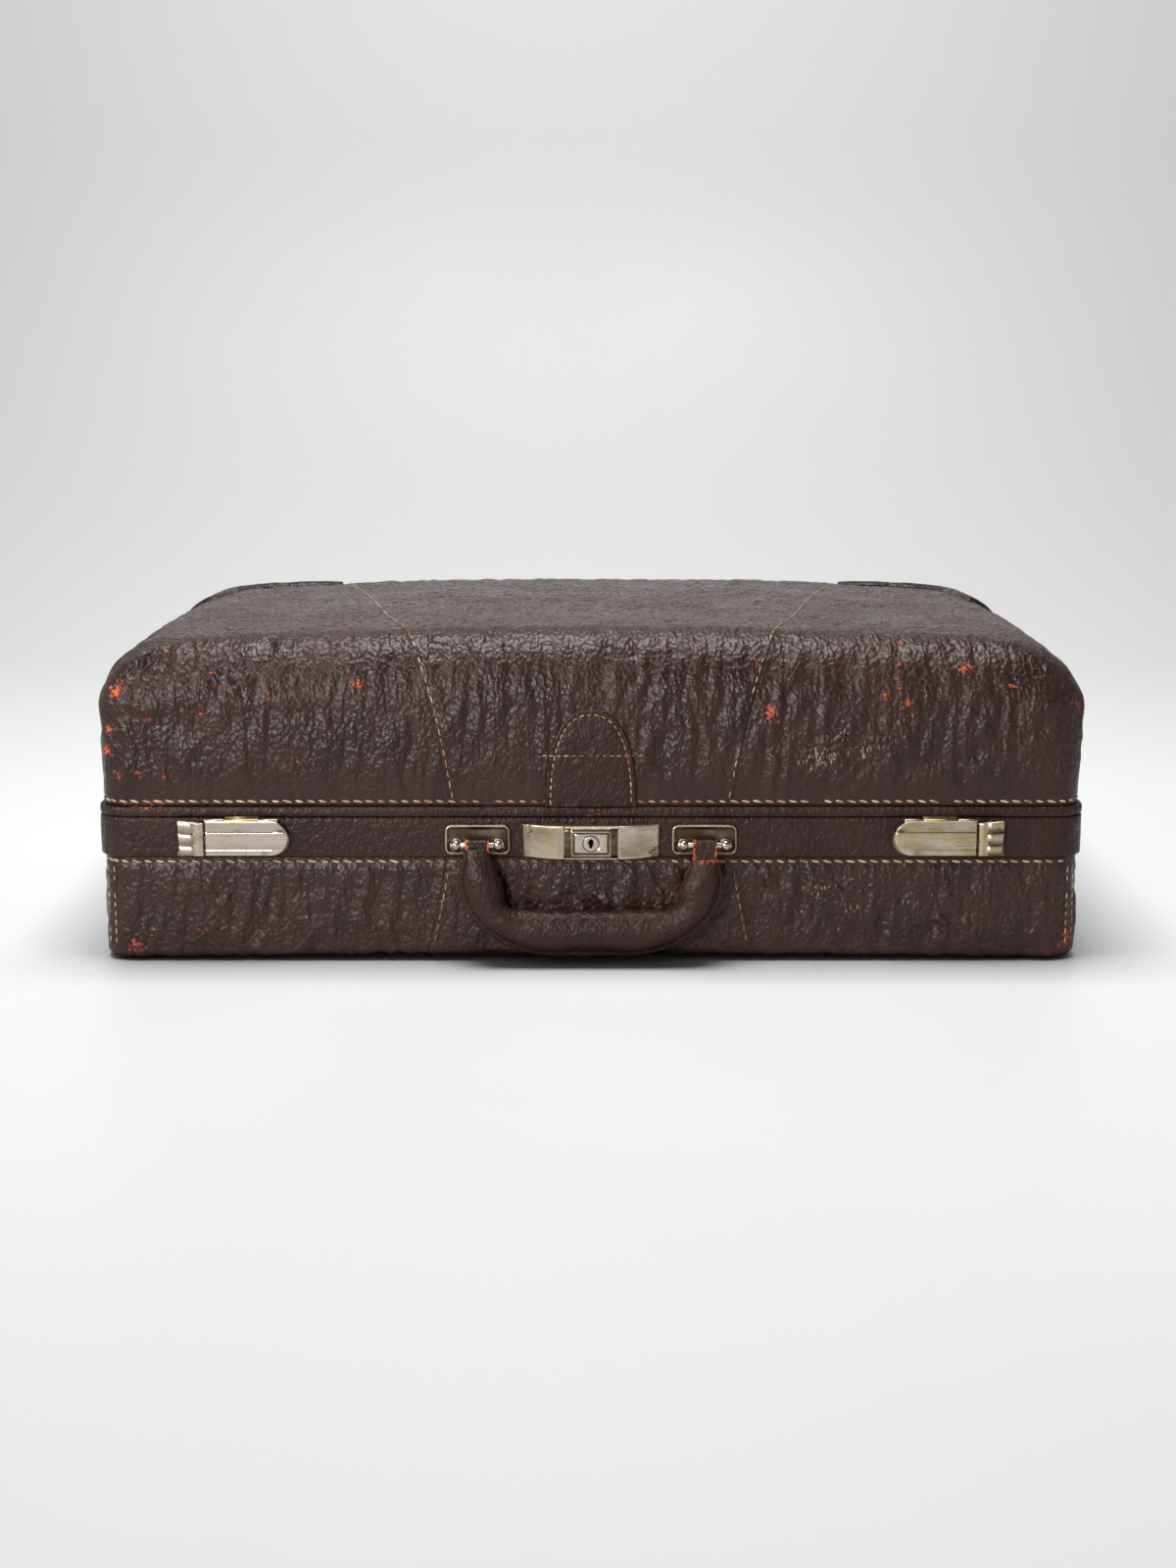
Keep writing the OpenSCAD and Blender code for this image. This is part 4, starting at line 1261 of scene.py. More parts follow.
@dataclass
class Lid:
    """The puffy lid: its leather, bound strip, tab, corner patches, lining and stitching."""

    shell: LidShell = LidShell()
    cells: tuple[int, int, int] = (352, 250, 60)
    inner_cells: tuple[int, int, int] = (120, 84, 30)
    hem_row: float = 2.9
    wall_run: float = 72.0
    arc_run: float = 64.0
    top_run: float = 310.0
    seam_stops: tuple[tuple[float, float], ...] = (
        (0.0, 86.0), (40.0, 92.0), (72.0, 98.0), (103.0, 108.0), (153.0, 123.0), (190.0, 133.5), (260.0, 146.5),
        (326.0, 159.0), (436.0, 183.0), (582.0, 200.0))
    seam_inset: float = -2.2
    lap_step: float = 0.5
    deepest: float = -3.4
    dent_at: Triple = (-273.6, -180.2, 183.2)
    dent_along: Triple = (0.759, 0.357, 0.545)
    dent_across: Triple = (-0.573, 0.742, 0.312)
    tab_half: float = 28.0
    tab_h: float = 60.0
    tab_curve: float = 2.4
    tab_row_z: float = 129.0
    patch_lift: float = 3.1
    corner_row: float = 3.2

    def build(self) -> None:
        """Builds every piece of the lid."""
        self.leather()
        self.strip()
        self.tab()
        for side in Side:
            self.patch(side)
        self.stitches()
        self.board()
        self.lining()

    def climb(self, p: Vector, share: float) -> float:
        """How far a point lies from the front hem, measured over the lid.

        Args:
            p: The point.
            share: Its share of the way from the rim to the flat.

        Returns:
            The distance.
        """
        wall, arc, top = self.wall_run, self.arc_run, self.top_run
        if share > 1:
            return wall + arc + top * clamp((p.y + top / 2) / top)
        level = self.shell.level(share)
        up = wall * min(1.0, level) + arc * max(0.0, level - 1)
        return up if p.y < 0 else 2 * (wall + arc) + top - up

    def seam_x(self, climb: float) -> float:
        """Distance of the lapped seam from the middle."""
        return along(self.seam_stops, climb)

    def seam_gap(self, p: Vector, share: float) -> float:
        """Distance of a point from the nearest seam.

        Args:
            p: The point.
            share: Its share of the way from the rim to the flat.

        Returns:
            The distance, over the lap positive.
        """
        gap = (abs(p.x) - self.seam_x(self.climb(p, share))) * 0.97
        if share < 0.9:
            gap = self.shell.outline(share).corner_gap(p, gap)
        return max(-SEAM_FAR, min(SEAM_FAR, gap))

    def wrinkle(self, p: Vector, share: float, gap: float) -> float:
        """Height of the leather's wrinkles.

        Args:
            p: A point of the smooth shell.
            share: Its share of the way from the rim to the flat.
            gap: Its distance from the nearest seam.

        Returns:
            The height in millimetres.
        """
        level = self.shell.level(min(1.0, share))
        wall = 1 - ease(1.1, 2.0, level)
        calm = ease(2.0, 26.0, p.z - CASE.lid_low) * (0.25 + 0.75 * ease(1.0, 7.0, abs(gap)))
        drift = 1.6 * noise.noise(p / 24.0)
        long = 1.1 * noise.noise(Vector((p.x / 6.6 + drift, p.y / 15.0, p.z / 36.0 + drift)))
        long += 0.2 * billow(p.x / 9.0 + drift, p.y / 12.0, p.z / 30.0)
        short = billow(p.x / 3.9 + 7, p.y / 3.9, p.z / 11.0 + drift)
        patchy = 0.45 + 0.9 * max(0.0, noise.noise(p / 60.0 + Vector((3, 1, 7))) + 0.35)
        swell = noise.noise(p / 95.0 + Vector((9, 4, 2)))
        fold = wall * bell(p.z - 160, 5 * noise.noise(Vector((p.x / 70, 2, 5))), 9)
        push = ease(200, 270, -p.x) * ease(0.8, 1.2, level) * ease(2.0, 1.6, level)
        relief = patchy * (2.0 * long * (0.5 + 0.5 * wall) + 0.15 * short) + 0.6 * fold
        return calm * relief + 0.9 * swell * calm + push

    def crease(self, p: Vector) -> tuple[float, float]:
        """Where a point lies along and across the fold at the front left corner."""
        d = p - Vector(self.dent_at)
        return d.dot(Vector(self.dent_along)), d.dot(Vector(self.dent_across))

    def dent(self, p: Vector) -> float:
        """Depth of the fold pressed into the front left corner.

        Args:
            p: A point of the smooth shell.

        Returns:
            The depth, sunk below the fold's line and raised above it.
        """
        lengthwise, across = self.crease(p)
        if abs(lengthwise) > 30 or abs(across) > 40:
            return 0.0
        below = ease(1.1, -1.1, across)
        sunk = 3.6 * below * bell(across, 0, 11) - 2.6 * (1 - below) * bell(across, 0, 6)
        return sunk * math.exp(-(lengthwise / 13) ** 4)

    def seam_at(self, p: Vector, gap: float) -> float:
        """A point's place in the seam field, in which the fold counts as a seam so that the leather paints a dark line
        of painted shade along it.

        Args:
            p: A point of the smooth shell.
            gap: Its distance from the nearest seam.

        Returns:
            The distance, counted from SEAM_ZERO.
        """
        lengthwise, across = self.crease(p)
        if abs(lengthwise) < 20 and abs(across) < 12:
            fold = 0.12 * abs(across + 1.5) + 0.7 * (lengthwise / 14) ** 4
            gap = math.copysign(min(abs(gap), fold), gap)
        return SEAM_ZERO + gap

    def leather(self) -> None:
        """The grained cover, wrinkled, lapped and rubbed."""
        bm, shares = wrap_grid(self.shell, *self.cells)
        moves, seams = [], []
        for vert, share in zip(bm.verts, shares):
            p = vert.co
            gap = self.seam_gap(p, share)
            lap = self.lap_step * ease(-1.2, 1.2, -gap) if abs(p.x) < 230 else 0.0
            groove = 0.5 * bell(p.z - CASE.lid_low, self.hem_row, 1.4) if share < 0.2 else 0.0
            rise = self.wrinkle(p, share, gap) + lap - groove - self.dent(p) - 0.3
            moves.append(vert.normal * max(rise, self.deepest))
            seams.append(self.seam_at(p, gap))
        cover("lid_cover", bm, moves, seams, Body.LID, "lid_leather", self.worn)

    def worn(self, p: Vector) -> Triple:
        """How a point of the cover is worn.

        Args:
            p: The point.

        Returns:
            Its wear, scuffing and calm.
        """
        corner = ease(286, 300, abs(p.x)) * ease(176, 196, abs(p.y))
        rear = 0.5 * ease(120, 160, p.y) * ease(190, 200, p.z) * (0.5 + 0.5 * noise.noise(p / 30))
        right = ease(288, 299, p.x) * ease(160, 176, p.z) * ease(-150, -100, p.y)
        patchy = 0.6 + 0.7 * noise.noise(p / 13)
        edges = max(0.3 * max(corner, rear), min(0.5, 0.46 * right * patchy))
        return rubbed(LID_RUBS, p) + edges, rubbed(LID_SCUFFS, p), 1 - ease(2, 30, p.z - CASE.lid_low)

    def strip(self) -> None:
        """The rolled binding round the lid's edge, worn at its middle and on its left."""
        low, top = CASE.strip_low, CASE.strip_top
        rolled = [(-4.3, 0.0), (-0.8, 0.0), (-0.15, 0.5), (0.1, 1.4), (0.15, 2.4), (0.1, 3.6), (-0.1, 4.7), (-0.5, 5.5)]
        profile = [(out, low + z) for out, z in rolled] + [(-1.2, top - 0.1), (-2.4, top), (-4.3, top)]
        bm = bound_ring(profile, 0.25)
        wear = []
        for p in (vert.co for vert in bm.verts):
            middle = 0.75 * bell(p.x, 1, 11) * ease(-199, -201, p.y)
            left = 0.8 * bell(p.x, -278, 16) * ease(-190, -200, p.y) * ease(low + 4, low + 5, p.z)
            wear.append(max(end_wear(p), middle + left))
        make_piece("lid_binding", bm, SMOOTH, Body.LID, ("lid_strip",), {"wear": wear})

    def tab_edge(self, inset: float, share: float) -> tuple[float, float]:
        """A point of the tab's half oval.

        Args:
            inset: How far the oval is drawn in.
            share: How far along it, from 0 to 1.

        Returns:
            The point as (x, z).
        """
        power = 2 / self.tab_curve
        c, s = math.cos(math.pi * share), math.sin(math.pi * share)
        x = -math.copysign(abs(c) ** power, c) * (self.tab_half - inset)
        return x, CASE.lid_low + 0.3 + abs(s) ** power * max(0.0, self.tab_h - 0.6 - inset)

    def on_front(self, x: float, z: float, lift: float) -> Vector:
        """A point laid on the lid's front wall."""
        return Vector((x, -(self.shell.front_y(z, x) + lift), z))

    def tab(self) -> None:
        """The half-oval leather tab with a pressed stitch line."""
        rows = [(0.0, -0.6), (0.0, 0.9), (0.25, 1.6), (0.8, 1.95), (1.8, 2.0), (2.6, 1.75), (3.3, 1.5), (4.0, 1.75),
                (5.0, 2.0), (8.0, 2.05), (12.0, 2.1), (17.0, 2.15), (22.0, 2.2), (self.tab_half, 2.2)]

        def place(u: float, inset: float, lift: float) -> Vector:
            """One point of the tab.

            Args:
                u: Share along the oval.
                inset: How far its ring is drawn in.
                lift: Its ring's height over the wall.

            Returns:
                The point.
            """
            x, z = self.tab_edge(inset, u)
            if inset > 1:
                lift -= 0.45 * bell(z, self.tab_row_z, 1.1)
                lift += 0.35 * noise.noise(Vector((x / 12, z / 12, 3)))
            return self.on_front(x, z, lift)

        bm = ringed(90, rows, place)
        face_out(bm, AHEAD)
        wear = [0.5 * ease(1.3, 0.9, -v.co.y - self.shell.front_y(v.co.z)) for v in bm.verts]
        make_piece("lid_front_tab", bm, SMOOTH, Body.LID, ("lid_tab",), {"wear": wear})
        edge = [(self.on_front(*self.tab_edge(3.3, i / 160), 1.75), AHEAD) for i in range(161)]
        half, z = self.tab_half + 2.5, self.tab_row_z
        xs = [half * (2 * i / 60 - 1) for i in range(61)]
        row = [(self.on_front(x, z, 1.8 if abs(x) < 26 else 0.6), AHEAD) for x in xs]
        sewn("tab_stitches", Body.LID, TAB_ROW, ((edge, 11, 0.55), (row, 12, 0.7)))

    def patch(self, side: Side) -> None:
        """A leather patch over one rear corner of the lid.

        Args:
            side: Which corner.
        """
        reach_side, reach_back, foot, top, draw = 0.26, 0.15, 0.02, 0.9, 0.09

        def place(u: float, v: float) -> Vector:
            """One point of the patch, thinned toward its edge.

            Args:
                u: Share round the corner.
                v: Share up it.

            Returns:
                The point.
            """
            end = top + draw * math.sqrt(max(0.0, math.sin(math.pi * u)))
            share = foot + (min(end, 0.995) - foot) * v
            lift = self.patch_lift * rounded(min(u, 1 - u, 1 - v) * 60, 1.0) + 0.1
            turn, w = (1, 1 - reach_side * (1 - 2 * u)) if u < 0.5 else (2, reach_back * (2 * u - 1))
            point = self.shell.place(turn, w, share, lift)[0]
            point += Vector((0, 0, 0.35 * noise.noise(point / 9)))
            return Vector((point.x * side.value, point.y, point.z))

        bm = mapped_grid(88, 70, place)
        face_out(bm, Vector((side.value, 1, 0.6)))
        wear = [0.5 if vert.is_boundary else 0.15 for vert in bm.verts]
        rim = {vert for edge in rim_edges(bm) for face in edge.link_faces for vert in face.verts}
        seam = [SEAM_ZERO + (0.0 if vert in rim else SEAM_FAR) for vert in bm.verts]
        make_piece(f"lid_{side.word}_corner_patch", bm, GRAINED, Body.LID, (f"lid_{side.word}_patch",),
                   {"wear": wear, "seam": seam})

    def seam_path(self, side: Side) -> Path:
        """The lapped seam from the front hem over the top to the rear hem.

        Args:
            side: Which seam.

        Returns:
            Its stitch line.
        """

        def wall_point(way: int, share: float) -> tuple[Vector, Vector]:
            """A point on the front or the rear wall and shoulder.

            Args:
                way: -1 for the front, 1 for the rear.
                share: Share of the way up.

            Returns:
                The point and the outward normal.
            """
            y = way * self.shell.outline(share).b
            x = self.seam_x(self.climb(Vector((0, y, 0)), share)) + self.seam_inset
            tilt = self.shell.tilt(share)
            normal = Vector((0, math.copysign(math.cos(tilt), y), math.sin(tilt)))
            return Vector((side.value * x, y, self.shell.height(share, x, y))) + normal * 0.3, normal

        path = [wall_point(-1, k / 60) for k in range(2, 61)]
        for k in range(1, 90):
            y = self.top_run * (k / 90 - 0.5)
            x = self.seam_x(self.climb(Vector((150, y, 0)), 1.5)) + self.seam_inset
            path.append((Vector((side.value * x, y, self.shell.dome(x, y) + 0.35)), Vector((0, 0, 1))))
        return path + [wall_point(1, k / 60) for k in range(60, 1, -1)]

    def corner_path(self, turn: int, offset: float) -> Path:
        """A stitch row up one corner of the lid, a distance from the start of one side."""
        shares = [k / 60 for k in range(4, 34)]
        return [self.shell.place(turn, offset / self.shell.outline(s).length(turn), s, 0.15) for s in shares]

    def stitches(self) -> None:
        """Hem, lapped seams and the rows on the rear corners."""
        hem = self.shell.outline(0.02).grown(-0.35).path(CASE.lid_low + self.hem_row, 700)
        sewn("lid_hem_stitches", Body.LID, HEM, [(hem, 21, 0.2)])
        laps = [(self.seam_path(side), 31 + seed, 0.6) for seed, side in enumerate(Side)]
        sewn("lid_seam_stitches", Body.LID, LAP, laps)
        rows = []
        for turn in (2, 3):
            before = self.shell.outline(0.4).length(turn - 1) - self.corner_row
            rows.append((self.corner_path(turn, self.corner_row), 42 + 2 * turn, 0.6))
            rows.append((self.corner_path(turn - 1, before), 41 + 2 * turn, 0.6))
        sewn("lid_corner_stitches", Body.LID, CORNER_ROW, rows)

    def board(self) -> None:
        """The pressed board between leather and lining."""
        bm, _ = wrap_grid(LidShell(inset=4.2, low=CASE.lid_low + 8.0), *self.inner_cells)
        thicken(bm, 1.5)
        make_piece("lid_stiffener", bm, BOARD, Body.LID, ("lid_board",))

    def lining(self) -> None:
        """The cotton inside the lid."""
        bm, _ = wrap_grid(LidShell(inset=6.4, low=CASE.strip_low + 1.2, swell=3.0), *self.inner_cells)
        for vert in bm.verts:
            vert.co += vert.normal * 0.4 * noise.noise(vert.co / 14)
        thicken(bm, LINING_T)
        make_piece("lid_cotton", bm, CLOTH, Body.LID, ("lid_lining",))


# The base


@dataclass
class Base:
    """The base: its leather tub, the smooth band, the lining and the stitching."""

    shell: TubShell = TubShell()
    cells: tuple[int, int, int] = (300, 200, 36)
    inner_cells: tuple[int, int, int] = (120, 84, 24)
    hem_row: float = 3.1
    arch: float = 3.0
    foot_lift: float = 1.6
    deepest: float = -1.6
    seam_top: float = 88.0
    seam_low: float = 101.0
    seam_inset: float = -2.2
    panel_inset: float = 34.0
    panel_low: float = 2.5
    panel_top: float = 5.9
    notch_low: float = 88.1
    notch: tuple[float, float] = (202.9, 224.8)

    def build(self) -> None:
        """Builds every piece of the base."""
        self.leather()
        self.panel()
        self.band()
        self.stitches()
        self.lining()

    def seam_x(self, z: float) -> float:
        """Distance of the lapped seam from the middle at a height."""
        return self.seam_low + (self.seam_top - self.seam_low) * clamp(z / CASE.base_h)

    def seam_gap(self, p: Vector, share: float) -> float:
        """Distance of a point from the nearest seam.

        Args:
            p: The point.
            share: Its share of the way from the rim to the floor.

        Returns:
            The distance, over the lap positive.
        """
        if share > 1:
            return SEAM_FAR
        gap = (abs(p.x) - self.seam_x(p.z)) * 0.98
        if share < 0.95:
            gap = self.shell.outline(share).corner_gap(p, gap)
        return max(-SEAM_FAR, min(SEAM_FAR, gap))

    def wrinkle(self, p: Vector, gap: float) -> float:
        """Height of the leather's wrinkles.

        Args:
            p: A point of the smooth shell.
            gap: Its distance from the nearest seam.

        Returns:
            The height in millimetres.
        """
        calm = ease(4.0, 14.0, CASE.base_h - p.z) * (0.25 + 0.75 * ease(1.0, 7.0, abs(gap)))
        drift = 1.5 * noise.noise(p / 22.0)
        long = 1.1 * noise.noise(Vector((p.x / 6.4 + drift + 5, p.y / 6.4, p.z / 30.0 + drift)))
        long += 0.2 * billow(p.x / 9.0, p.y / 9.0, p.z / 26.0 + drift)
        short = billow(p.x / 3.8, p.y / 3.8, p.z / 10.0 + drift)
        patchy = 0.4 + 0.9 * max(0.0, noise.noise(p / 50.0 + Vector((8, 2, 3))) + 0.35)
        relief = patchy * (2.6 * long + 0.1 * short) + 0.5 * noise.noise(p / 80.0)
        groove = 0.5 * bell(CASE.base_h - p.z, self.hem_row, 1.4)
        return calm * (1 - 0.6 * ease(26, 6, p.z)) * relief - groove

    def foot(self, p: Vector, share: float) -> float:
        """How far the bottom edge is lifted off the floor, most at the middle of each side.

        Args:
            p: A point of the smooth shell.
            share: Its share of the way from the rim to the floor.

        Returns:
            The lift in millimetres.
        """
        long_side = abs(p.y) * CASE.half_w > abs(p.x) * CASE.half_d
        middle = abs(p.x) / 290 if long_side else abs(p.y) / 186
        lift = self.foot_lift + self.arch * max(0.0, 1 - middle ** 2)
        return lift * (ease(0.5, 0.97, share) * (1 - ease(1.0, 1.5, share)))

    def leather(self) -> None:
        """The grained tub, wrinkled and rubbed, its bottom edge arched a little off the floor."""
        bm, shares = wrap_grid(self.shell, *self.cells)
        moves, seams = [], []
        for vert, share in zip(bm.verts, shares):
            p = vert.co
            gap = self.seam_gap(p, share)
            lap = 0.35 * ease(-1.2, 1.2, -gap) if abs(p.x) < 200 and share < 1 else 0.0
            lap -= 0.8 * bell(abs(p.x), 268, 7) * (share < 1)
            rise = max(self.wrinkle(p, gap) + lap + 0.5, self.deepest)
            moves.append(vert.normal * rise + Vector((0, 0, self.foot(p, share))))
            seams.append(SEAM_ZERO + gap)
        cover("base_cover", bm, moves, seams, Body.BASE, "base_leather", self.worn)

    def worn(self, p: Vector) -> Triple:
        """How a point of the tub is worn.

        Args:
            p: The point.

        Returns:
            Its wear, scuffing and calm.
        """
        corners = 0.4 * ease(288, 300, abs(p.x)) * ease(184, 197, abs(p.y)) * ease(60, 5, p.z)
        calm = max(ease(10, 2, CASE.base_h - p.z), 0.6 * ease(22, 6, p.z))
        return rubbed(BASE_RUBS, p) + corners, rubbed(BASE_SCUFFS, p), calm

    def panel(self) -> None:
        """The floor board, drawn in from the leather's lifted edge."""
        bm = bmesh.new()
        x, y = CASE.half_w - self.panel_inset, CASE.half_d - self.panel_inset
        add_block(bm, Vector((-x, -y, self.panel_low)), Vector((x, y, self.panel_top)), 1.2)
        make_piece("floor_panel", bm, BOARD, Body.BASE, ("base_board",), sharp=40)

    def band(self) -> None:
        """The smooth band round the rim, with a notch for each latch's leaf."""
        low, top = CASE.base_h, CASE.part_z
        lower = [(-2.2, 0.0), (-0.7, -0.1), (-0.2, 0.25), (0.0, 0.9), (0.0, 3), (0.05, 7), (0.1, 12), (0.1, 17),
                 (0.05, 21)]
        upper = [(0.0, 1.6), (-0.25, 0.7), (-0.8, 0.15), (-1.4, 0.0), (-2.2, 0.0)]
        bm = bound_ring([(out, low + z) for out, z in lower] + [(out, top - z) for out, z in upper], 0.2)
        cuts = [side.value * (x + step) for side in Side for x in self.notch for step in (-0.02, 0.02)]
        for x in cuts:
            bmesh.ops.bisect_plane(bm, geom=bm.verts[:] + bm.edges[:] + bm.faces[:], dist=1e-5,
                                   plane_co=(x, 0, 0), plane_no=(1, 0, 0))
        for vert in bm.verts:
            inside = self.notch[0] + 0.01 < abs(vert.co.x) < self.notch[1] - 0.01
            if inside and vert.co.y < 0 and vert.co.z > self.notch_low:
                vert.co.z = self.notch_low
        wear = [end_wear(v.co) + 0.4 * ease(low + 0.7, low, v.co.z) * ease(0, 0.4, noise.noise(v.co / 30))
                for v in bm.verts]
        bmesh.ops.recalc_face_normals(bm, faces=bm.faces)
        make_piece("rim_band", bm, SMOOTH, Body.BASE, ("base_band",), {"wear": wear})

    def lap_path(self, side: Side, way: int) -> Path:
        """The stitch line of a lapped seam on the front or the rear wall.

        Args:
            side: Which seam.
            way: -1 for the front, 1 for the rear.

        Returns:
            The line, from the top down.
        """
        heights = [58 - 48 * k / 50 for k in range(1, 50)]
        y = way * (CASE.half_d + 0.75)
        return [(Vector((side.value * (self.seam_x(z) + self.seam_inset), y, z)), Vector((0, way, 0))) for z in heights]

    def corner_path(self, turn: int, way: int) -> Path:
        """One of the two stitch rows down a corner.

        Args:
            turn: Which corner.
            way: -1 or 1, the row's side of the corner.

        Returns:
            The row, from the top down.
        """
        ring = Outline(CASE.half_w, CASE.half_d, CASE.corner_r).grown(0.6)
        angle = math.radians(-45 + 9 * way + 90 * turn)
        out = Vector((math.sin(angle), -math.cos(angle), 0.0))
        middle = Vector(((ring.a - ring.r) * (-1, 1, 1, -1)[turn], (ring.b - ring.r) * (-1, -1, 1, 1)[turn], 0))
        return [(middle + out * ring.r + Vector((0, 0, 60 - k)), out) for k in range(50)]

    def stitches(self) -> None:
        """Hem, lapped seams and corner rows of the base."""
        hem = self.shell.outline(0.04).grown(0.3).path(CASE.base_h - self.hem_row, 700)
        sewn("base_hem_stitches", Body.BASE, HEM, [(hem, 61, 0.2)])
        ways = [(seed, side, way) for seed, side in enumerate(Side) for way in (-1, 1)]
        laps = [(self.lap_path(side, way), 71 + seed + 2 * way, 0.9) for seed, side, way in ways]
        sewn("base_seam_stitches", Body.BASE, LAP, laps)
        rows = [(self.corner_path(turn, way), 81 + 2 * turn + way, 0.45) for turn in range(4) for way in (-1, 1)]
        sewn("base_corner_stitches", Body.BASE, CORNER_ROW, rows)

    def lining(self) -> None:
        """The cotton inside the base."""
        shell = TubShell(inset=6.3, top=CASE.part_z - 1.2, floor=6.4, edge_r=6.0, tuck=0.0)
        bm, _ = wrap_grid(shell, *self.inner_cells)
        for vert in bm.verts:
            vert.co -= vert.normal * 0.35 * billow(vert.co.x / 17, vert.co.y / 17, vert.co.z / 17)
        thicken(bm, LINING_T)
        make_piece("base_cotton", bm, CLOTH, Body.BASE, ("base_lining",))


# Metalwork


@dataclass
class Latch:
    """One latch: the hasp that hangs from the lid and the thumb slide that holds it."""

    side: Side
    middle: float = 219.0
    low: float = 67.5
    out_end: float = -34.0
    in_end: float = 34.0
    hasp_out: float = -17.2
    slide_in: float = -17.5
    back: float = 3.6
    face: float = 4.8
    edge: float = 0.9
    barrel_z: float = 89.1
    barrel_f: float = 2.6
    barrel_r: float = 1.5
    knuckles: tuple[tuple[float, float], ...] = ((-17.2, -5.5), (15.8, 27.5))
    catch: tuple[tuple[float, ...], ...] = ((-9.7, -8.1, 1.3, 3.7), (-14.7, -8.1, 1.3, 1.7))
    runners: tuple[tuple[float, ...], ...] = (
        (-33, -18.5, 1.1, 2.4, 7.8), (-33, -18.5, 2.2, 3.7, 6.3), (-19.5, -10, 2.3, 3.3, 2.5))

    def build(self) -> None:
        """Builds the hasp and the slide."""
        self.hasp()
        self.slide()

    def at(self, u: float, f: float, z: float) -> Vector:
        """A point u toward the case's middle, f in front of the band."""
        return CASE.front(self.side.value * (self.middle - u), f, z)

    def reach(self, p: Vector) -> float:
        """How far a point lies toward the case's middle."""
        return self.middle - self.side.value * p.x

    def spot(self, p: Vector, u: float, z: float, wide: float, tall: float) -> float:
        """Strength of a round stain at a point."""
        return bell(self.reach(p), u, wide) * bell(p.z, z, tall)

    def plated(self, name: str, node: str, bm: Mesh, fields: dict[str, list[float]]) -> None:
        """Finishes one piece of the latch, whose node and body are called by the same two words."""
        word = self.side.word
        make_piece(f"{word}_{name}", bm, STEEL, Body(f"{node}_{word}"), (f"{word}_{node}",), fields, sharp=50)

    def hasp(self) -> None:
        """The long plate with a raised middle, its rolled top edge and its catch."""
        low, high = self.low, self.barrel_z + 0.4
        tall, radius = high - low, (high - low) / 2
        centre_u, centre_z = self.in_end - radius, (low + high) / 2
        band_low, band_high = low + 0.2 * tall, low + 0.68 * tall

        def place(u: float, v: float) -> Vector:
            """One point of the plate's face.

            Args:
                u: Share along the plate.
                v: Share up it.

            Returns:
                The point.
            """
            reach = self.hasp_out + (self.in_end - self.hasp_out) * u
            half = radius
            if reach > centre_u:
                half = math.sqrt(max(0.0, radius ** 2 - (reach - centre_u) ** 2))
            half = max(half, 0.02)
            z = centre_z + half * math.sin((v - 0.5) * math.pi)
            inside = min(half - abs(z - centre_z), reach - self.hasp_out)
            if reach > centre_u:
                inside = min(inside, radius - math.hypot(reach - centre_u, z - centre_z))
            edge = rounded(inside, self.edge)
            raised = ease(band_low - 0.25, band_low + 0.25, z) * ease(band_high + 0.25, band_high - 0.25, z)
            raised *= ease(self.in_end - 1.2, self.in_end - 2.4, reach)
            crease = bell(z, band_low - 0.3, 0.3) + bell(z, band_high + 0.3, 0.3)
            f = self.back + (self.face - self.back) * edge + 0.28 * raised - 0.2 * crease * edge
            return self.at(reach, f, z)

        bm = mapped_grid(64, 56, place)
        fill_back(bm)
        for ends in self.knuckles:
            add_rod(bm, *(self.at(u, self.barrel_f, self.barrel_z) for u in ends), self.barrel_r)
        for low_u, high_u, f0, f1 in self.catch:
            add_block(bm, self.at(low_u, f1, 74.5), self.at(high_u, f0, 79.5))
        lines = (low + 0.22 * tall, low + 0.3 * tall, low + 0.69 * tall)
        fields: dict[str, list[float]] = {"stain": [], "wear": [], "brown": []}
        for p in (vert.co for vert in bm.verts):
            fields["stain"].append(0.35 * ease(4.0, 3.4, CASE.ahead(p)) + 0.45 * (self.side is Side.RIGHT))
            fields["wear"].append(0.3 * ease(self.barrel_z - 3.0, self.barrel_z - 1.0, p.z) + 0.04)
            fields["brown"].append(
                0.45 * max(bell(p.z, z, 0.25) for z in lines) + 0.12 * ease(lines[2], lines[2] + 0.5, p.z)
                + 0.8 * self.spot(p, 29.5, 83.3, 2.6, 1.1) + 0.55 * self.spot(p, 19.5, 69.6, 2.2, 1.5)
                + 0.5 * self.spot(p, 12.0, 73.0, 14.0, 0.25))
        self.plated("hasp_plate", "hasp", bm, fields)

    def slide(self) -> None:
        """The thumb slide: three finger lobes that run into a plain inner end, with painted shade in brown on the lower
        part of each lobe and at its join with the hasp.
        """
        low, high = self.low - 0.3, self.barrel_z + 1.2
        foot = self.low + 9.5

        def place(u: float, v: float) -> Vector:
            """One point of the thumb piece.

            Args:
                u: Share toward the hasp.
                v: Share up it.

            Returns:
                The point.
            """
            left = self.out_end + 1.6 * (1 - v) ** 2
            top = high - 2.2 * u
            inside = min(min(v, 1 - v) * (top - low), (1 - u) * 15, u * 15)
            lobes = abs(math.sin(math.pi * 3 * v)) ** 0.55
            fade = 1 - ease(0.5, 0.72, u)
            f = self.back + rounded(inside, self.edge) * (1.2 + 1.2 * lobes * fade + 0.7 * bell(u, 0.8, 0.1))
            return self.at(left + (self.slide_in - left) * u, f, low + (top - low) * v)

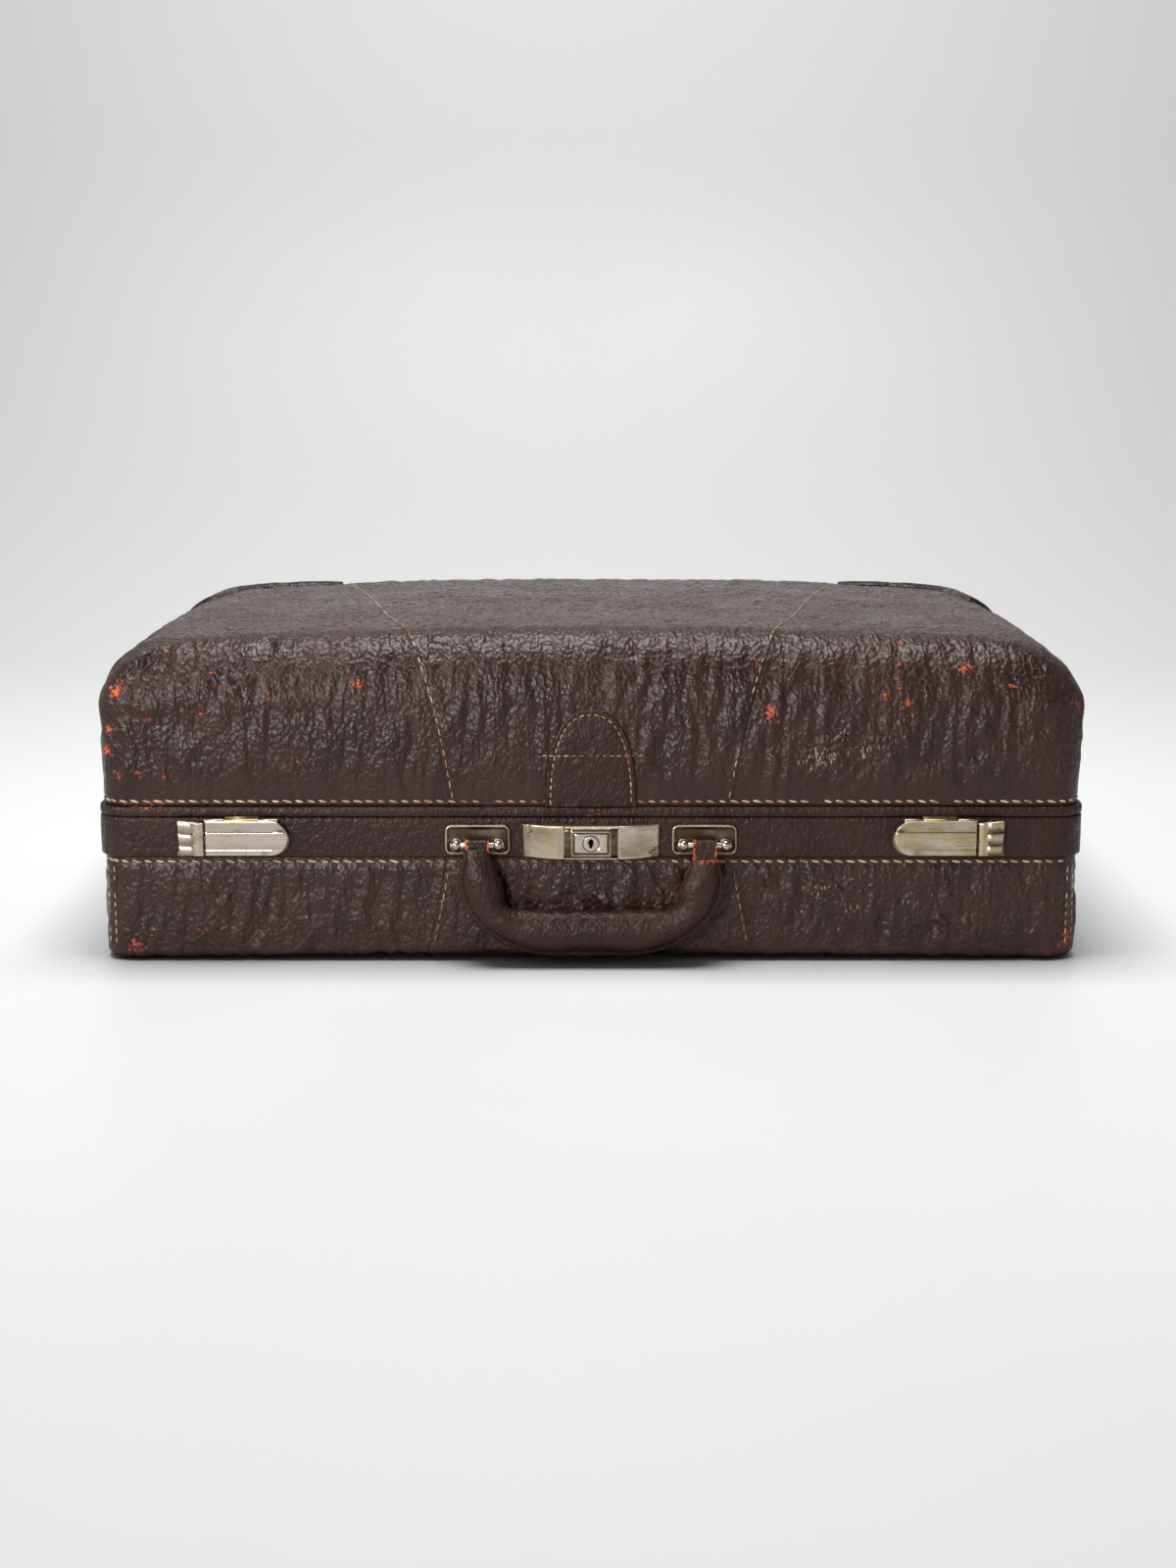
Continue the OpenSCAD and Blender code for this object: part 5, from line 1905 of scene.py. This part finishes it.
        bm = mapped_grid(36, 54, place)
        fill_back(bm)
        for u0, u1, f0, f1, half in self.runners:
            add_block(bm, self.at(u0, f1, foot - half), self.at(u1, f0, foot + half))
        right = self.side is Side.RIGHT
        brown = []
        # Painted shade: brown on the lower part of each lobe and along the join with the hasp.
        for p in (vert.co for vert in bm.verts):
            lobe = 3 * (p.z - low) / (high - 1.0 - low) % 1.0
            fade = ease(self.slide_in - 4.5, self.slide_in - 7.0, self.reach(p))
            joint = ease(self.slide_in - 1.2, self.slide_in - 0.3, self.reach(p))
            brown.append(max((0.6 + 0.3 * right) * ease(0.62, 0.2, lobe) * fade, 0.8 * joint))
        fields = {"stain": [0.3 + 0.3 * right] * len(brown), "wear": [0.12 + 0.3 * right] * len(brown), "brown": brown}
        self.plated("thumb_slide", "slide", bm, fields)


@dataclass
class Lock:
    """The centre lock: a bowed face with a raised block, and a plate set into it round the plug."""

    half_w: float = 42.0
    low: float = 66.6
    high: float = 87.1
    half_block: float = 16.6
    wing_f: float = 9.8
    block_f: float = 11.8
    sheet: float = 1.2
    frame_x: float = 11.7
    recess_x: float = 10.2
    recess_z: float = 6.3
    recess_f: float = 10.1
    rim: float = 1.1
    key_w: float = 9.85
    key_h: float = 5.85
    key_ring: float = 5.15

    @property
    def middle(self) -> float:
        """Height of the lock's middle."""
        return (self.low + self.high) / 2

    @property
    def half_h(self) -> float:
        """Half the face's height."""
        return (self.high - self.low) / 2

    def build(self) -> None:
        """Builds the lock's face and its key plate."""
        self.face()
        self.keyplate()

    def grid_lines(self) -> tuple[list[float], list[float]]:
        """Where the face's grid lines lie, close together at its steps.

        Returns:
            The places across and the places up, both from the middle.
        """
        edge = (0.0, 0.0, 0.12, 0.35, 0.7)
        half = self.half_h
        xs = [self.half_w - r for r in edge]
        xs += [self.half_w - 1 - (self.half_w - self.half_block - 1) * i / 24 for i in range(1, 24)]
        xs += [self.half_block + 0.1, self.half_block, 16.2, 15.6, 14.8, 14.0, 13.2, 12.4, self.frame_x, 11.2, 10.7,
               self.recess_x + 0.1, self.recess_x, 8.0, 6.0, 3.0]
        zs = [half - r for r in edge] + [half - 0.95, half - self.rim, half - 1.35, half - 1.8, 7.6, 7.2, 6.8,
                                         self.recess_z + 0.1, self.recess_z, 4.0, 2.0]
        return [-x for x in xs] + [0.0] + xs[::-1], [-z for z in zs] + [0.0] + zs[::-1]

    def depth_at(self, x: float, z: float) -> float:
        """How far the face stands out.

        Args:
            x: Place across, from the middle.
            z: Place up, from the middle.

        Returns:
            The distance in front of the band.
        """
        wide, depth = abs(x), self.half_h - abs(z)
        share = clamp((self.half_w - wide) / (self.half_w - self.half_block))
        f = self.sheet + (self.wing_f - self.sheet) * math.sin(math.pi / 2 * share)
        if wide <= self.half_block:
            flank = min(1.0, (self.half_block - wide) / (self.half_block - self.frame_x)) ** 1.7
            shelf = self.wing_f - 0.7 + (self.block_f - self.wing_f + 0.7) * flank
            f = self.wing_f + 0.9 if depth <= self.rim and wide < self.half_block - 0.2 else shelf
            if depth > self.rim:
                f -= 0.8 * ease(self.recess_z + 0.6, self.half_h - self.rim, abs(z))
            if wide <= self.recess_x and abs(z) <= self.recess_z:
                f = self.recess_f
        return f - 0.5 * (1 - min(1.0, min(depth, self.half_w - wide) / 0.7)) ** 2

    def face(self) -> None:
        """The bowed face, open where the plug stands."""
        xs, zs = self.grid_lines()

        def place(u: float, v: float) -> Vector:
            """One point of the face, or of its foot on the band.

            Args:
                u: Share across.
                v: Share up.

            Returns:
                The point.
            """
            i, j = round(u * (len(xs) - 1)), round(v * (len(zs) - 1))
            foot = i in (0, len(xs) - 1) or j in (0, len(zs) - 1)
            return CASE.front(xs[i], 0.0 if foot else self.depth_at(xs[i], zs[j]), self.middle + zs[j])

        bm = mapped_grid(len(xs) - 1, len(zs) - 1, place, weld=False)
        spots = [(face, face.calc_center_median()) for face in bm.faces]
        hole = [face for face, p in spots
                if abs(p.x) < 7.9 and abs(p.z - self.middle) < 6.2 and -p.y > CASE.band.b + 9]
        fill_back(bm)
        bmesh.ops.delete(bm, geom=hole, context="FACES")
        bm.normal_update()
        fields: dict[str, list[float]] = {"stain": [], "wear": [], "brown": [], "hollow_shade": []}
        for vert in bm.verts:
            for key, value in self.aged(vert.co).items():
                fields[key].append(value)
        make_piece("lock_front", bm, STEEL, Body.BASE, ("lock_face",), fields, sharp=45)

    def aged(self, p: Vector) -> dict[str, float]:
        """How the plating looks at a point of the face: old and rubbed, with painted shade in brown inside the block,
        painted highlights where its ridge and the recess's top inner wall are left pale, and painted shade in black in
        the recess.

        Args:
            p: The point.

        Returns:
            The point's value in each field of the finish.
        """
        x, z, left = abs(p.x), p.z - self.middle, p.x < 0
        half, tall, block = self.half_h, abs(z), self.half_block
        inner = ease(half - self.rim + 0.1, half - self.rim - 0.25, tall) * ease(block + 0.1, block - 0.3, x)
        crest = ease(0.9, 0.2, abs(x - self.frame_x)) * ease(7.4, 6.9, tall)
        lintel = ease(self.frame_x + 0.3, self.frame_x - 0.2, x) * ease(0.55, 0.2, abs(tall - 7.2))
        wing = ease(block, block + 2, x) * ease(0.9, 2.0, half - tall) * ease(0.6, 1.6, self.half_w - x)
        cloud = 0.5 + 0.5 * noise.noise(p / 11)
        side = ease(-6, 7, z) if left else ease(7, -7, z)
        end = ease(22, 40, x)
        worn = 0.5 * end * ease(-4, 6, z) if left else 0.62 * end * ease(5, -6, z) + 0.4 * end * ease(2, 8, z)
        recess = x < self.recess_x + 0.2 and tall < self.recess_z + 0.2
        # Brown inside the block is painted shade; crest and lintel keep it off as painted highlights on the frame's
        # ridge and the recess's top inner wall.
        return {"brown": max(0.97 * inner * (1 - max(0.55 * crest, 0.9 * lintel)), wing * (0.12 + 0.35 * side * cloud)),
                "hollow_shade": ease(10.9, 10.4, CASE.ahead(p)) * recess, "stain": 0.5 if left else 0.25, "wear": 0.12 + worn}

    def keyplate(self) -> None:
        """The pale plate in the recess, with painted shade in black on its inner wall as a dark ring round the plug."""
        rows = [(0.0, 10.2), (0.0, 11.1), (0.06, 11.3), (0.5, 11.3), (0.92, 11.3), (1.0, 11.15), (1.0, 10.2)]

        def place(u: float, share: float, f: float) -> Vector:
            """One point between the ring and the plate's edge.

            Args:
                u: Share of the way round.
                share: Share of the way out.
                f: Its distance out.

            Returns:
                The point.
            """
            c, d = math.cos(2 * math.pi * u), math.sin(2 * math.pi * u)
            edge = min(self.key_w / max(abs(c), 1e-6), self.key_h / max(abs(d), 1e-6))
            reach = self.key_ring + (edge - self.key_ring) * share
            return CASE.front(reach * c, f, self.middle + reach * d)

        bm = ringed(96, rows, place)
        # Black on the plate's inner wall is painted shade in the gap round the plug.
        fields = {"hollow_shade": [ease(11.0, 10.7, CASE.ahead(v.co)) for v in bm.verts],
                  "wear": [0.45 * ease(4, 8, v.co.x) + 0.2 * ease(-4, -7, v.co.x) for v in bm.verts]}
        make_piece("lock_keyplate", bm, STEEL, Body.BASE, ("lock_escutcheon",), fields, sharp=40)


@dataclass
class HandlePlate:
    """One pressed plate behind the handle's studs."""

    side: Side
    middle: float = 69.5
    half_w: float = 20.0
    half_h: float = 9.35
    low: float = 68.0
    corner: float = 4.0

    def build(self) -> None:
        """Builds the plate as rings drawn in from its edge, brown inside, its raised rim browned as painted shade
        except the top line and left end, which stay pale as painted highlights.
        """
        rows = [(0.0, 0.0), (0.0, 1.5), (0.15, 2.0), (0.5, 2.35), (0.95, 2.4), (1.4, 2.2), (1.9, 1.7), (2.5, 1.3),
                (3.2, 1.1), (3.9, 1.05)]
        centre_x, centre_z = self.side.value * self.middle, self.low + self.half_h

        def place(u: float, inset: float, f: float) -> Vector:
            """One point of the plate.

            Args:
                u: Share of the way round.
                inset: How far its ring is drawn in.
                f: Its ring's distance out.

            Returns:
                The point.
            """
            ring = Outline(self.half_w - inset, self.half_h - inset, max(0.1, self.corner - inset))
            point = ring.around(u)[0]
            return CASE.front(centre_x + point.x, f, centre_z + point.y)

        bm = ringed(96, rows, place)
        fill_back(bm)
        brown = []
        for p in (vert.co for vert in bm.verts):
            # Painted shade: the raised rim is browned except its top line and left end, which stay pale as painted
            # highlights.
            rim = ease(2.0, 2.38, CASE.ahead(p)) * ease(-17.0, -14.0, p.x - centre_x)
            brown.append(0.97 * ease(2.38, 2.0, CASE.ahead(p)) + 0.5 * rim * ease(centre_z + 7.5, centre_z + 6.5, p.z))
        fields = {"stain": [0.55] * len(brown), "wear": [0.3] * len(brown), "brown": brown}
        make_piece(f"{self.side.word}_pressed_plate", bm, STEEL, Body.BASE, (f"{self.side.word}_handle_plate",),
                   fields, sharp=50)


# The handle


@dataclass
class Handle:
    """The padded handle: a stuffed tube with a sewn fin, hung on two leather loops."""

    loop_x: float = 69.5
    plane_f: float = 9.2
    half_out: float = 81.0
    half_in: float = 57.0
    foot_in: float = 53.0
    left_top: float = 73.0
    right_top: float = 66.5
    inner_z: float = 35.0
    inner_r: float = 9.0
    low_z: float = 6.4
    sweep_x: float = 60.0
    sweep_z: float = 46.0
    leg_part: float = 0.3
    bend_part: float = 0.66
    fin_h: float = 3.4
    fin_half: float = 1.1
    fin_angle: float = 0.32
    depth: float = 10.4
    bar_f: float = 7.0
    bar_z: float = 75.0
    loop_w: float = 14.5
    loop_r: float = 3.5
    loop_t: float = 1.5
    loop_drop: float = 16.0
    cells: tuple[int, int] = (72, 190)
    fill: float = 0.85

    def build(self) -> None:
        """Builds the grip and its loops."""
        self.grip()
        for side in Side:
            self.loop(side)

    def edges(self, t: float, top: float) -> tuple[Vector, Vector]:
        """The inner and the outer edge of the handle in its own plane.

        Args:
            t: 0 at a leg's top, 1 at the middle of the grip.
            top: Height of the leg's top.

        Returns:
            The inner and the outer point as (x, z).
        """
        leg, bend = self.leg_part, self.bend_part
        corner = Vector((-self.foot_in + self.inner_r, self.inner_z + self.inner_r))
        hub = Vector((-self.half_out + self.sweep_x, self.low_z + self.sweep_z))
        if t < leg:
            u = t / leg
            taper = ease(0.9, 0.0, u)
            inside = -self.half_in - 5.4 * taper + (self.half_in - self.foot_in) * u
            return (Vector((inside, top + (corner.y - top) * u)),
                    Vector((-self.half_out + 3.2 * taper, top + (hub.y - top) * u)))
        if t < bend:
            angle = math.pi / 2 * (t - leg) / (bend - leg)
            way = Vector((-math.cos(angle), -math.sin(angle)))
            return corner + way * self.inner_r, hub + Vector((way.x * self.sweep_x, way.y * self.sweep_z))
        u = (t - bend) / (1 - bend)
        return Vector((corner.x * (1 - u), self.inner_z)), Vector((hub.x * (1 - u), self.low_z))

    def grip_point(self, u: float, v: float) -> Vector:
        """One point of the tube.

        Args:
            u: Share of the way round, from the inner edge over the front to the fin and back.
            v: Share of the way along, from the left leg's top to the right one's.

        Returns:
            The point.
        """
        t = 1 - abs(2 * v - 1)
        left = -1.0 if v <= 0.5 else 1.0
        inner, outer = self.edges(t, self.left_top if left < 0 else self.right_top)
        width = (outer - inner).length
        tube = width - self.fin_h * (0.55 + 0.45 * ease(0.2, 0.5, t)) * ease(0.02, 0.14, t)
        deep = self.depth * (0.27 + 0.73 * ease(-0.04, 0.24, t))
        angle = 2 * math.pi * u
        turned = min(angle, 2 * math.pi - angle)
        edge = math.pi - self.fin_angle
        if turned < edge:
            folds = billow(v * 150, turned * 0.7, 1.7 + left) * bell(t, 0.47, 0.14) * ease(1.9, 0.4, turned)
            soft = 0.5 * noise.noise(Vector((v * 22, math.cos(angle) * 1.2, math.sin(angle) * 1.2)))
            crease = bell(turned, 1.15, 0.1) * ease(0.62, 0.75, t) * (1 + noise.noise(Vector((v * 40, 1, 2))))
            forward = (deep + soft - 2.2 * folds - 0.45 * crease) * math.sin(turned)
            pushed = (1.8 * folds + 0.3 * noise.noise(Vector((v * 30, 8, 1)))) * ease(1.2, 0.0, turned)
            reach = tube / 2 * (1 - math.cos(turned)) + pushed
        else:
            w = (turned - edge) / self.fin_angle
            start = tube / 2 * (1 - math.cos(edge))
            reach = start + (width - start) * ease(0.05, 0.75, w)
            forward = along([(0.0, deep * math.sin(edge)), (0.3, self.fin_half + 0.5), (0.75, self.fin_half),
                             (0.92, self.fin_half * 0.7), (1.0, 0.0)], w)
        point = inner + (outer - inner) / width * reach
        return CASE.front(-left * point.x, self.plane_f + (forward if angle <= math.pi else -forward), point.y)

    def grip(self) -> None:
        """The stuffed tube, creased in its bends, with the fin along its outside."""
        bm = mapped_grid(*self.cells, self.grip_point)
        bmesh.ops.holes_fill(bm, edges=rim_edges(bm), sides=0)
        bmesh.ops.recalc_face_normals(bm, faces=bm.faces)
        wear = []
        for p in (vert.co for vert in bm.verts):
            wide, z, right = abs(p.x), p.z, p.x > 0
            tips = ease(62, 66, z) * (1.0 if right else 0.55)
            inner = 0.5 * ease(59, 56, wide) * ease(49, 54, wide) * ease(38, 46, z) * ease(66, 58, z)
            rim = 0.42 * ease(8.4, 7.0, z) * (0.6 + 0.6 * noise.noise(p / 9))
            torn = 0.7 * right * ease(60, 64, z) * ease(59.5, 58, wide)
            wear.append(max(0.8 * tips, inner, rim, torn))
        piece = make_piece("stuffed_grip", bm, SMOOTH, Body.HANDLE, ("handle_grip",), {"wear": wear})

    def loop(self, side: Side) -> None:
        """A leather loop folded over one bar, its cut edges torn.

        Args:
            side: Which loop.
        """
        bend = math.pi * self.loop_r
        total = 2 * self.loop_drop + bend
        middle, half, right = side.value * self.loop_x, self.loop_w / 2, side is Side.RIGHT

        def place(u: float, v: float) -> Vector:
            """One point of the loop's outer layer.

            Args:
                u: Share over the bar.
                v: Share of its width.

            Returns:
                The point.
            """
            s = total * u - total / 2
            if abs(s) <= bend / 2:
                angle = s / self.loop_r
                f, z = self.bar_f + self.loop_r * math.sin(angle), self.bar_z + self.loop_r * math.cos(angle)
            else:
                down = abs(s) - bend / 2
                spread = self.loop_r * (1 - 0.25 * ease(0, 11, down))
                f, z = self.bar_f + math.copysign(spread, s), self.bar_z - down
            f += 1.1 * ease(self.bar_z, self.bar_z - 9, z)
            ragged = 1 + 0.06 * noise.noise(Vector((u * 26, v * 2 + side.value, 4)))
            return CASE.front(middle + half * (2 * v - 1) * ragged, f, z)

        bm = mapped_grid(56, 16, place, weld=False)
        face_out(bm, Vector((0, -1, 1)))
        thicken(bm, self.loop_t)
        wear = []
        for p in (vert.co for vert in bm.verts):
            across = p.x - middle
            torn = ease(half - (4.0 if across < 0 else 3.0), half - 0.6, abs(across))
            reach = ease(64, 70, p.z) if across < 0 else ease(69, 73, p.z)
            wear.append(0.85 * torn if right else torn * reach)
        make_piece(f"{side.word}_bar_loop", bm, SMOOTH, Body.HANDLE, (f"{side.word}_handle_loop",), {"wear": wear},
                   sharp=60)


# Nodes that keep their shape


@dataclass
class Carried:
    """Nodes of the frame whose shape is right: metal gets eased edges, the rest a finish."""

    eased: tuple[tuple[Finish, str], ...] = (
        (STEEL, "left_base_hinge centre_base_hinge right_base_hinge left_lid_hinge centre_lid_hinge right_lid_hinge"),
        (STEEL, "lock_plug handle_studs left_handle_bar right_handle_bar"), (BRASS, "left_latch_leaf right_latch_leaf"),
        (DULL, "left_latch_plate right_latch_plate"), (STEEL, "lock_hook"))
    plain: tuple[tuple[Finish, str], ...] = (
        (BOARD, "base_front_board base_rear_board base_left_board base_right_board"),
        (WOOD, "base_front_rail base_rear_rail base_left_rail base_right_rail lid_rail"),
        (BRASS, "hinge_base_rivets hinge_lid_rivets latch_rivets left_latch_pin right_latch_pin"),
        (STEEL, "hinge_pins left_latch_spring right_latch_spring lock_bolt"), (DULL, "lock_guide"))
    eased_by: float = 0.18
    merged_by: float = 0.002
    keyhole_play: float = 0.12

    def build(self) -> None:
        """Dresses every carried node."""
        bodies = {node: body for body, nodes in frame["record"]["behaviour"]["bodies"].items() for node in nodes}
        for finish, names in self.eased:
            for node in names.split():
                self.ease_edges(node, finish, Body(bodies[node]))
        for finish, names in self.plain:
            for node in names.split():
                mesh = frame["nodes"][node].data
                mesh.materials.clear()
                mesh.materials.append(finish.material())
                LOG.info("%s keeps its shape", node)

    def in_keyhole(self, p: Vector) -> bool:
        """Whether a point of the plug lies in its keyhole or behind its face.

        Args:
            p: The point.

        Returns:
            Whether it does.
        """
        low, high = mm_box("lock_plug")
        dz = p.z - (low.z + high.z) / 2
        round_part = math.hypot(p.x, dz - 0.6) < 1.5 + self.keyhole_play
        slot = abs(p.x) < 0.8 + self.keyhole_play and -4.2 < dz < 0.6
        return round_part or slot or CASE.ahead(p) < 11.0

    def ease_edges(self, node: str, finish: Finish, body: Body) -> None:
        """Replaces a node by a merged copy with eased edges.

        Args:
            node: The node.
            finish: What it is made of.
            body: The body that it moves with.
        """
        bm = bmesh.new()
        bm.from_mesh(frame["nodes"][node].data)
        bmesh.ops.scale(bm, vec=(1 / MM,) * 3, verts=bm.verts)
        bmesh.ops.remove_doubles(bm, verts=bm.verts, dist=self.merged_by)
        bmesh.ops.dissolve_limit(bm, angle_limit=math.radians(1.5), verts=bm.verts, edges=bm.edges)
        sharp = [e for e in bm.edges if e.is_manifold and e.calc_face_angle(0.0) > math.radians(50)]
        bmesh.ops.bevel(bm, geom=sharp, offset=self.eased_by, segments=2, profile=0.5, affect="EDGES", material=-1,
                        clamp_overlap=True)
        leaf, stud = 0.95 * ("leaf" in node), 0.35 * (node == "handle_studs")
        # Brown on the latch leaves where they lie close against the band is painted shade; the studs' even brown is
        # tarnish.
        fields = {"brown": [leaf * ease(1.4, 0.9, CASE.ahead(v.co)) + stud for v in bm.verts],
                  # Black in the plug's keyhole and on its sides behind its face is painted shade.
                  "hollow_shade": [float(node == "lock_plug" and self.in_keyhole(v.co)) for v in bm.verts]}
        make_piece(node + "_eased", bm, finish, body, (node,), fields, sharp=40)


# Studio


@dataclass
class Studio:
    """A white sweep, soft lamps and the photograph's camera."""

    camera_at: Triple = (-0.0018, -1.5609, 0.3555)
    camera_tilt: float = 79.843
    lens: float = 51.995
    sensor: float = 36.0
    floor_half: float = 4.0
    wall_y: float = 1.9
    wall_top: float = 3.2
    bend: float = 0.7
    white: Colour = (0.9, 0.9, 0.9, 1.0)
    fill: float = 0.09
    horizon: float = 0.75
    zenith: float = 0.12

    def build(self) -> None:
        """Builds the sweep, lamps, world and camera."""
        sweep = self.sweep()
        self.lamp("overhead", (-0.1, -0.08, 2.0), (0.0, -0.08, 0.0), 1.2, 43.0)
        self.lamp("back_wall", (0.0, 0.8, 2.7), (0.0, 1.9, 1.7), 1.6, 14.0)
        self.lamp("key", (-1.65, -1.3, 1.25), (0.0, -0.15, 0.12), 0.4, 26.0, sweep)
        self.lamp("front", (-0.9, -2.2, 0.78), (0.0, -0.2, 0.12), 0.5, 26.0, sweep)
        self.world()
        self.camera()
        bpy.context.scene.view_settings.view_transform = "Standard"

    def paint(self, graph: Graph) -> dict:
        """What feeds the sweep's shader: white, with a faintly uneven sheen."""
        cloud = graph.noise(graph.position(), 2.0, 3.0)
        return {"Base Color": self.white, "Roughness": graph.ramp(cloud, 0.3, 0.7, 0.42, 0.5)}

    def sweep(self) -> bpy.types.Object:
        """The floor that curves up into the wall.

        Returns:
            The sweep.
        """
        bm = bmesh.new()
        bend = [(self.wall_y - self.bend + self.bend * math.sin(a), self.bend * (1 - math.cos(a)))
                for a in (math.pi / 2 * i / 16 for i in range(17))]
        profile = [(-self.floor_half, 0.0), *bend, (self.wall_y, self.wall_top)]
        verts = [bm.verts.new((-self.floor_half, y, z)) for y, z in profile]
        edges = [bm.edges.new(pair) for pair in zip(verts, verts[1:])]
        made = bmesh.ops.extrude_edge_only(bm, edges=edges)["geom"]
        bmesh.ops.translate(bm, vec=(2 * self.floor_half, 0, 0),
                            verts=[v for v in made if isinstance(v, bmesh.types.BMVert)])
        face_out(bm, Vector((0, -1, 1)))
        mesh = bpy.data.meshes.new("white_sweep")
        bm.to_mesh(mesh)
        bm.free()
        mesh.shade_smooth()
        mesh.materials.append(new_material("white_sweep", self.paint))
        sweep = bpy.data.objects.new("white_sweep", mesh)
        bpy.context.scene.collection.objects.link(sweep)
        return sweep

    def lamp(self, name: str, at: Triple, aim: Triple, size: float, power: float,
             spared: bpy.types.Object | None = None) -> None:
        """A square soft lamp.

        Args:
            name: The lamp's name.
            at: Where it hangs, in metres.
            aim: What it points at.
            size: Length of its side.
            power: Its power in watts.
            spared: An object that it leaves unlit.
        """
        data = bpy.data.lights.new(name, "AREA")
        data.size, data.energy = size, power
        lamp = bpy.data.objects.new(name, data)
        lamp.location = at
        lamp.rotation_euler = (Vector(aim) - Vector(at)).to_track_quat("-Z", "Y").to_euler()
        if spared:
            unlit = bpy.data.collections.new(name + "_spares")
            unlit.objects.link(spared)
            lamp.light_linking.receiver_collection = unlit
            unlit.collection_objects[0].light_linking.link_state = "EXCLUDE"
        bpy.context.scene.collection.objects.link(lamp)

    def world(self) -> None:
        """A pale horizon that is seen and mirrored, with little light of its own."""
        world = bpy.data.worlds.new("pale_horizon")
        world.use_nodes = True
        graph = Graph(world.node_tree)
        height = graph.add("SeparateXYZ", {0: graph.add("TexCoord", out="Generated")}, "Z")
        rays = graph.parts("LightPath")
        seen = graph.math("MAXIMUM", rays["Is Camera Ray"], rays["Is Glossy Ray"])
        seen = graph.math("MAXIMUM", seen, rays["Is Transmission Ray"])
        shade = graph.ramp(height, 0.1, 0.65, self.horizon, self.zenith) - self.fill
        graph.feed(world.node_tree.nodes["Background"],
                   {"Color": (1.0, 1.0, 1.0, 1.0), "Strength": shade * seen + self.fill})
        bpy.context.scene.world = world

    def camera(self) -> None:
        """The camera of the photograph, its lens and sensor set for a frame of 1200 by 1600."""
        data = bpy.data.cameras.new("camera")
        data.lens, data.sensor_width, data.sensor_fit = self.lens, self.sensor, "AUTO"
        camera = bpy.data.objects.new("camera", data)
        camera.location = self.camera_at
        camera.rotation_euler = (math.radians(self.camera_tilt), 0.0, 0.0)
        bpy.context.scene.collection.objects.link(camera)
        bpy.context.scene.camera = camera


def main() -> None:
    """Builds the suitcase piece by piece."""
    logging.basicConfig(level=logging.INFO, format="%(name)s %(message)s")
    Studio().build()
    Base().build()
    Lid().build()
    Lock().build()
    for side in Side:
        Latch(side).build()
        HandlePlate(side).build()
    Handle().build()
    Carried().build()


if __name__ == "__main__":
    main()
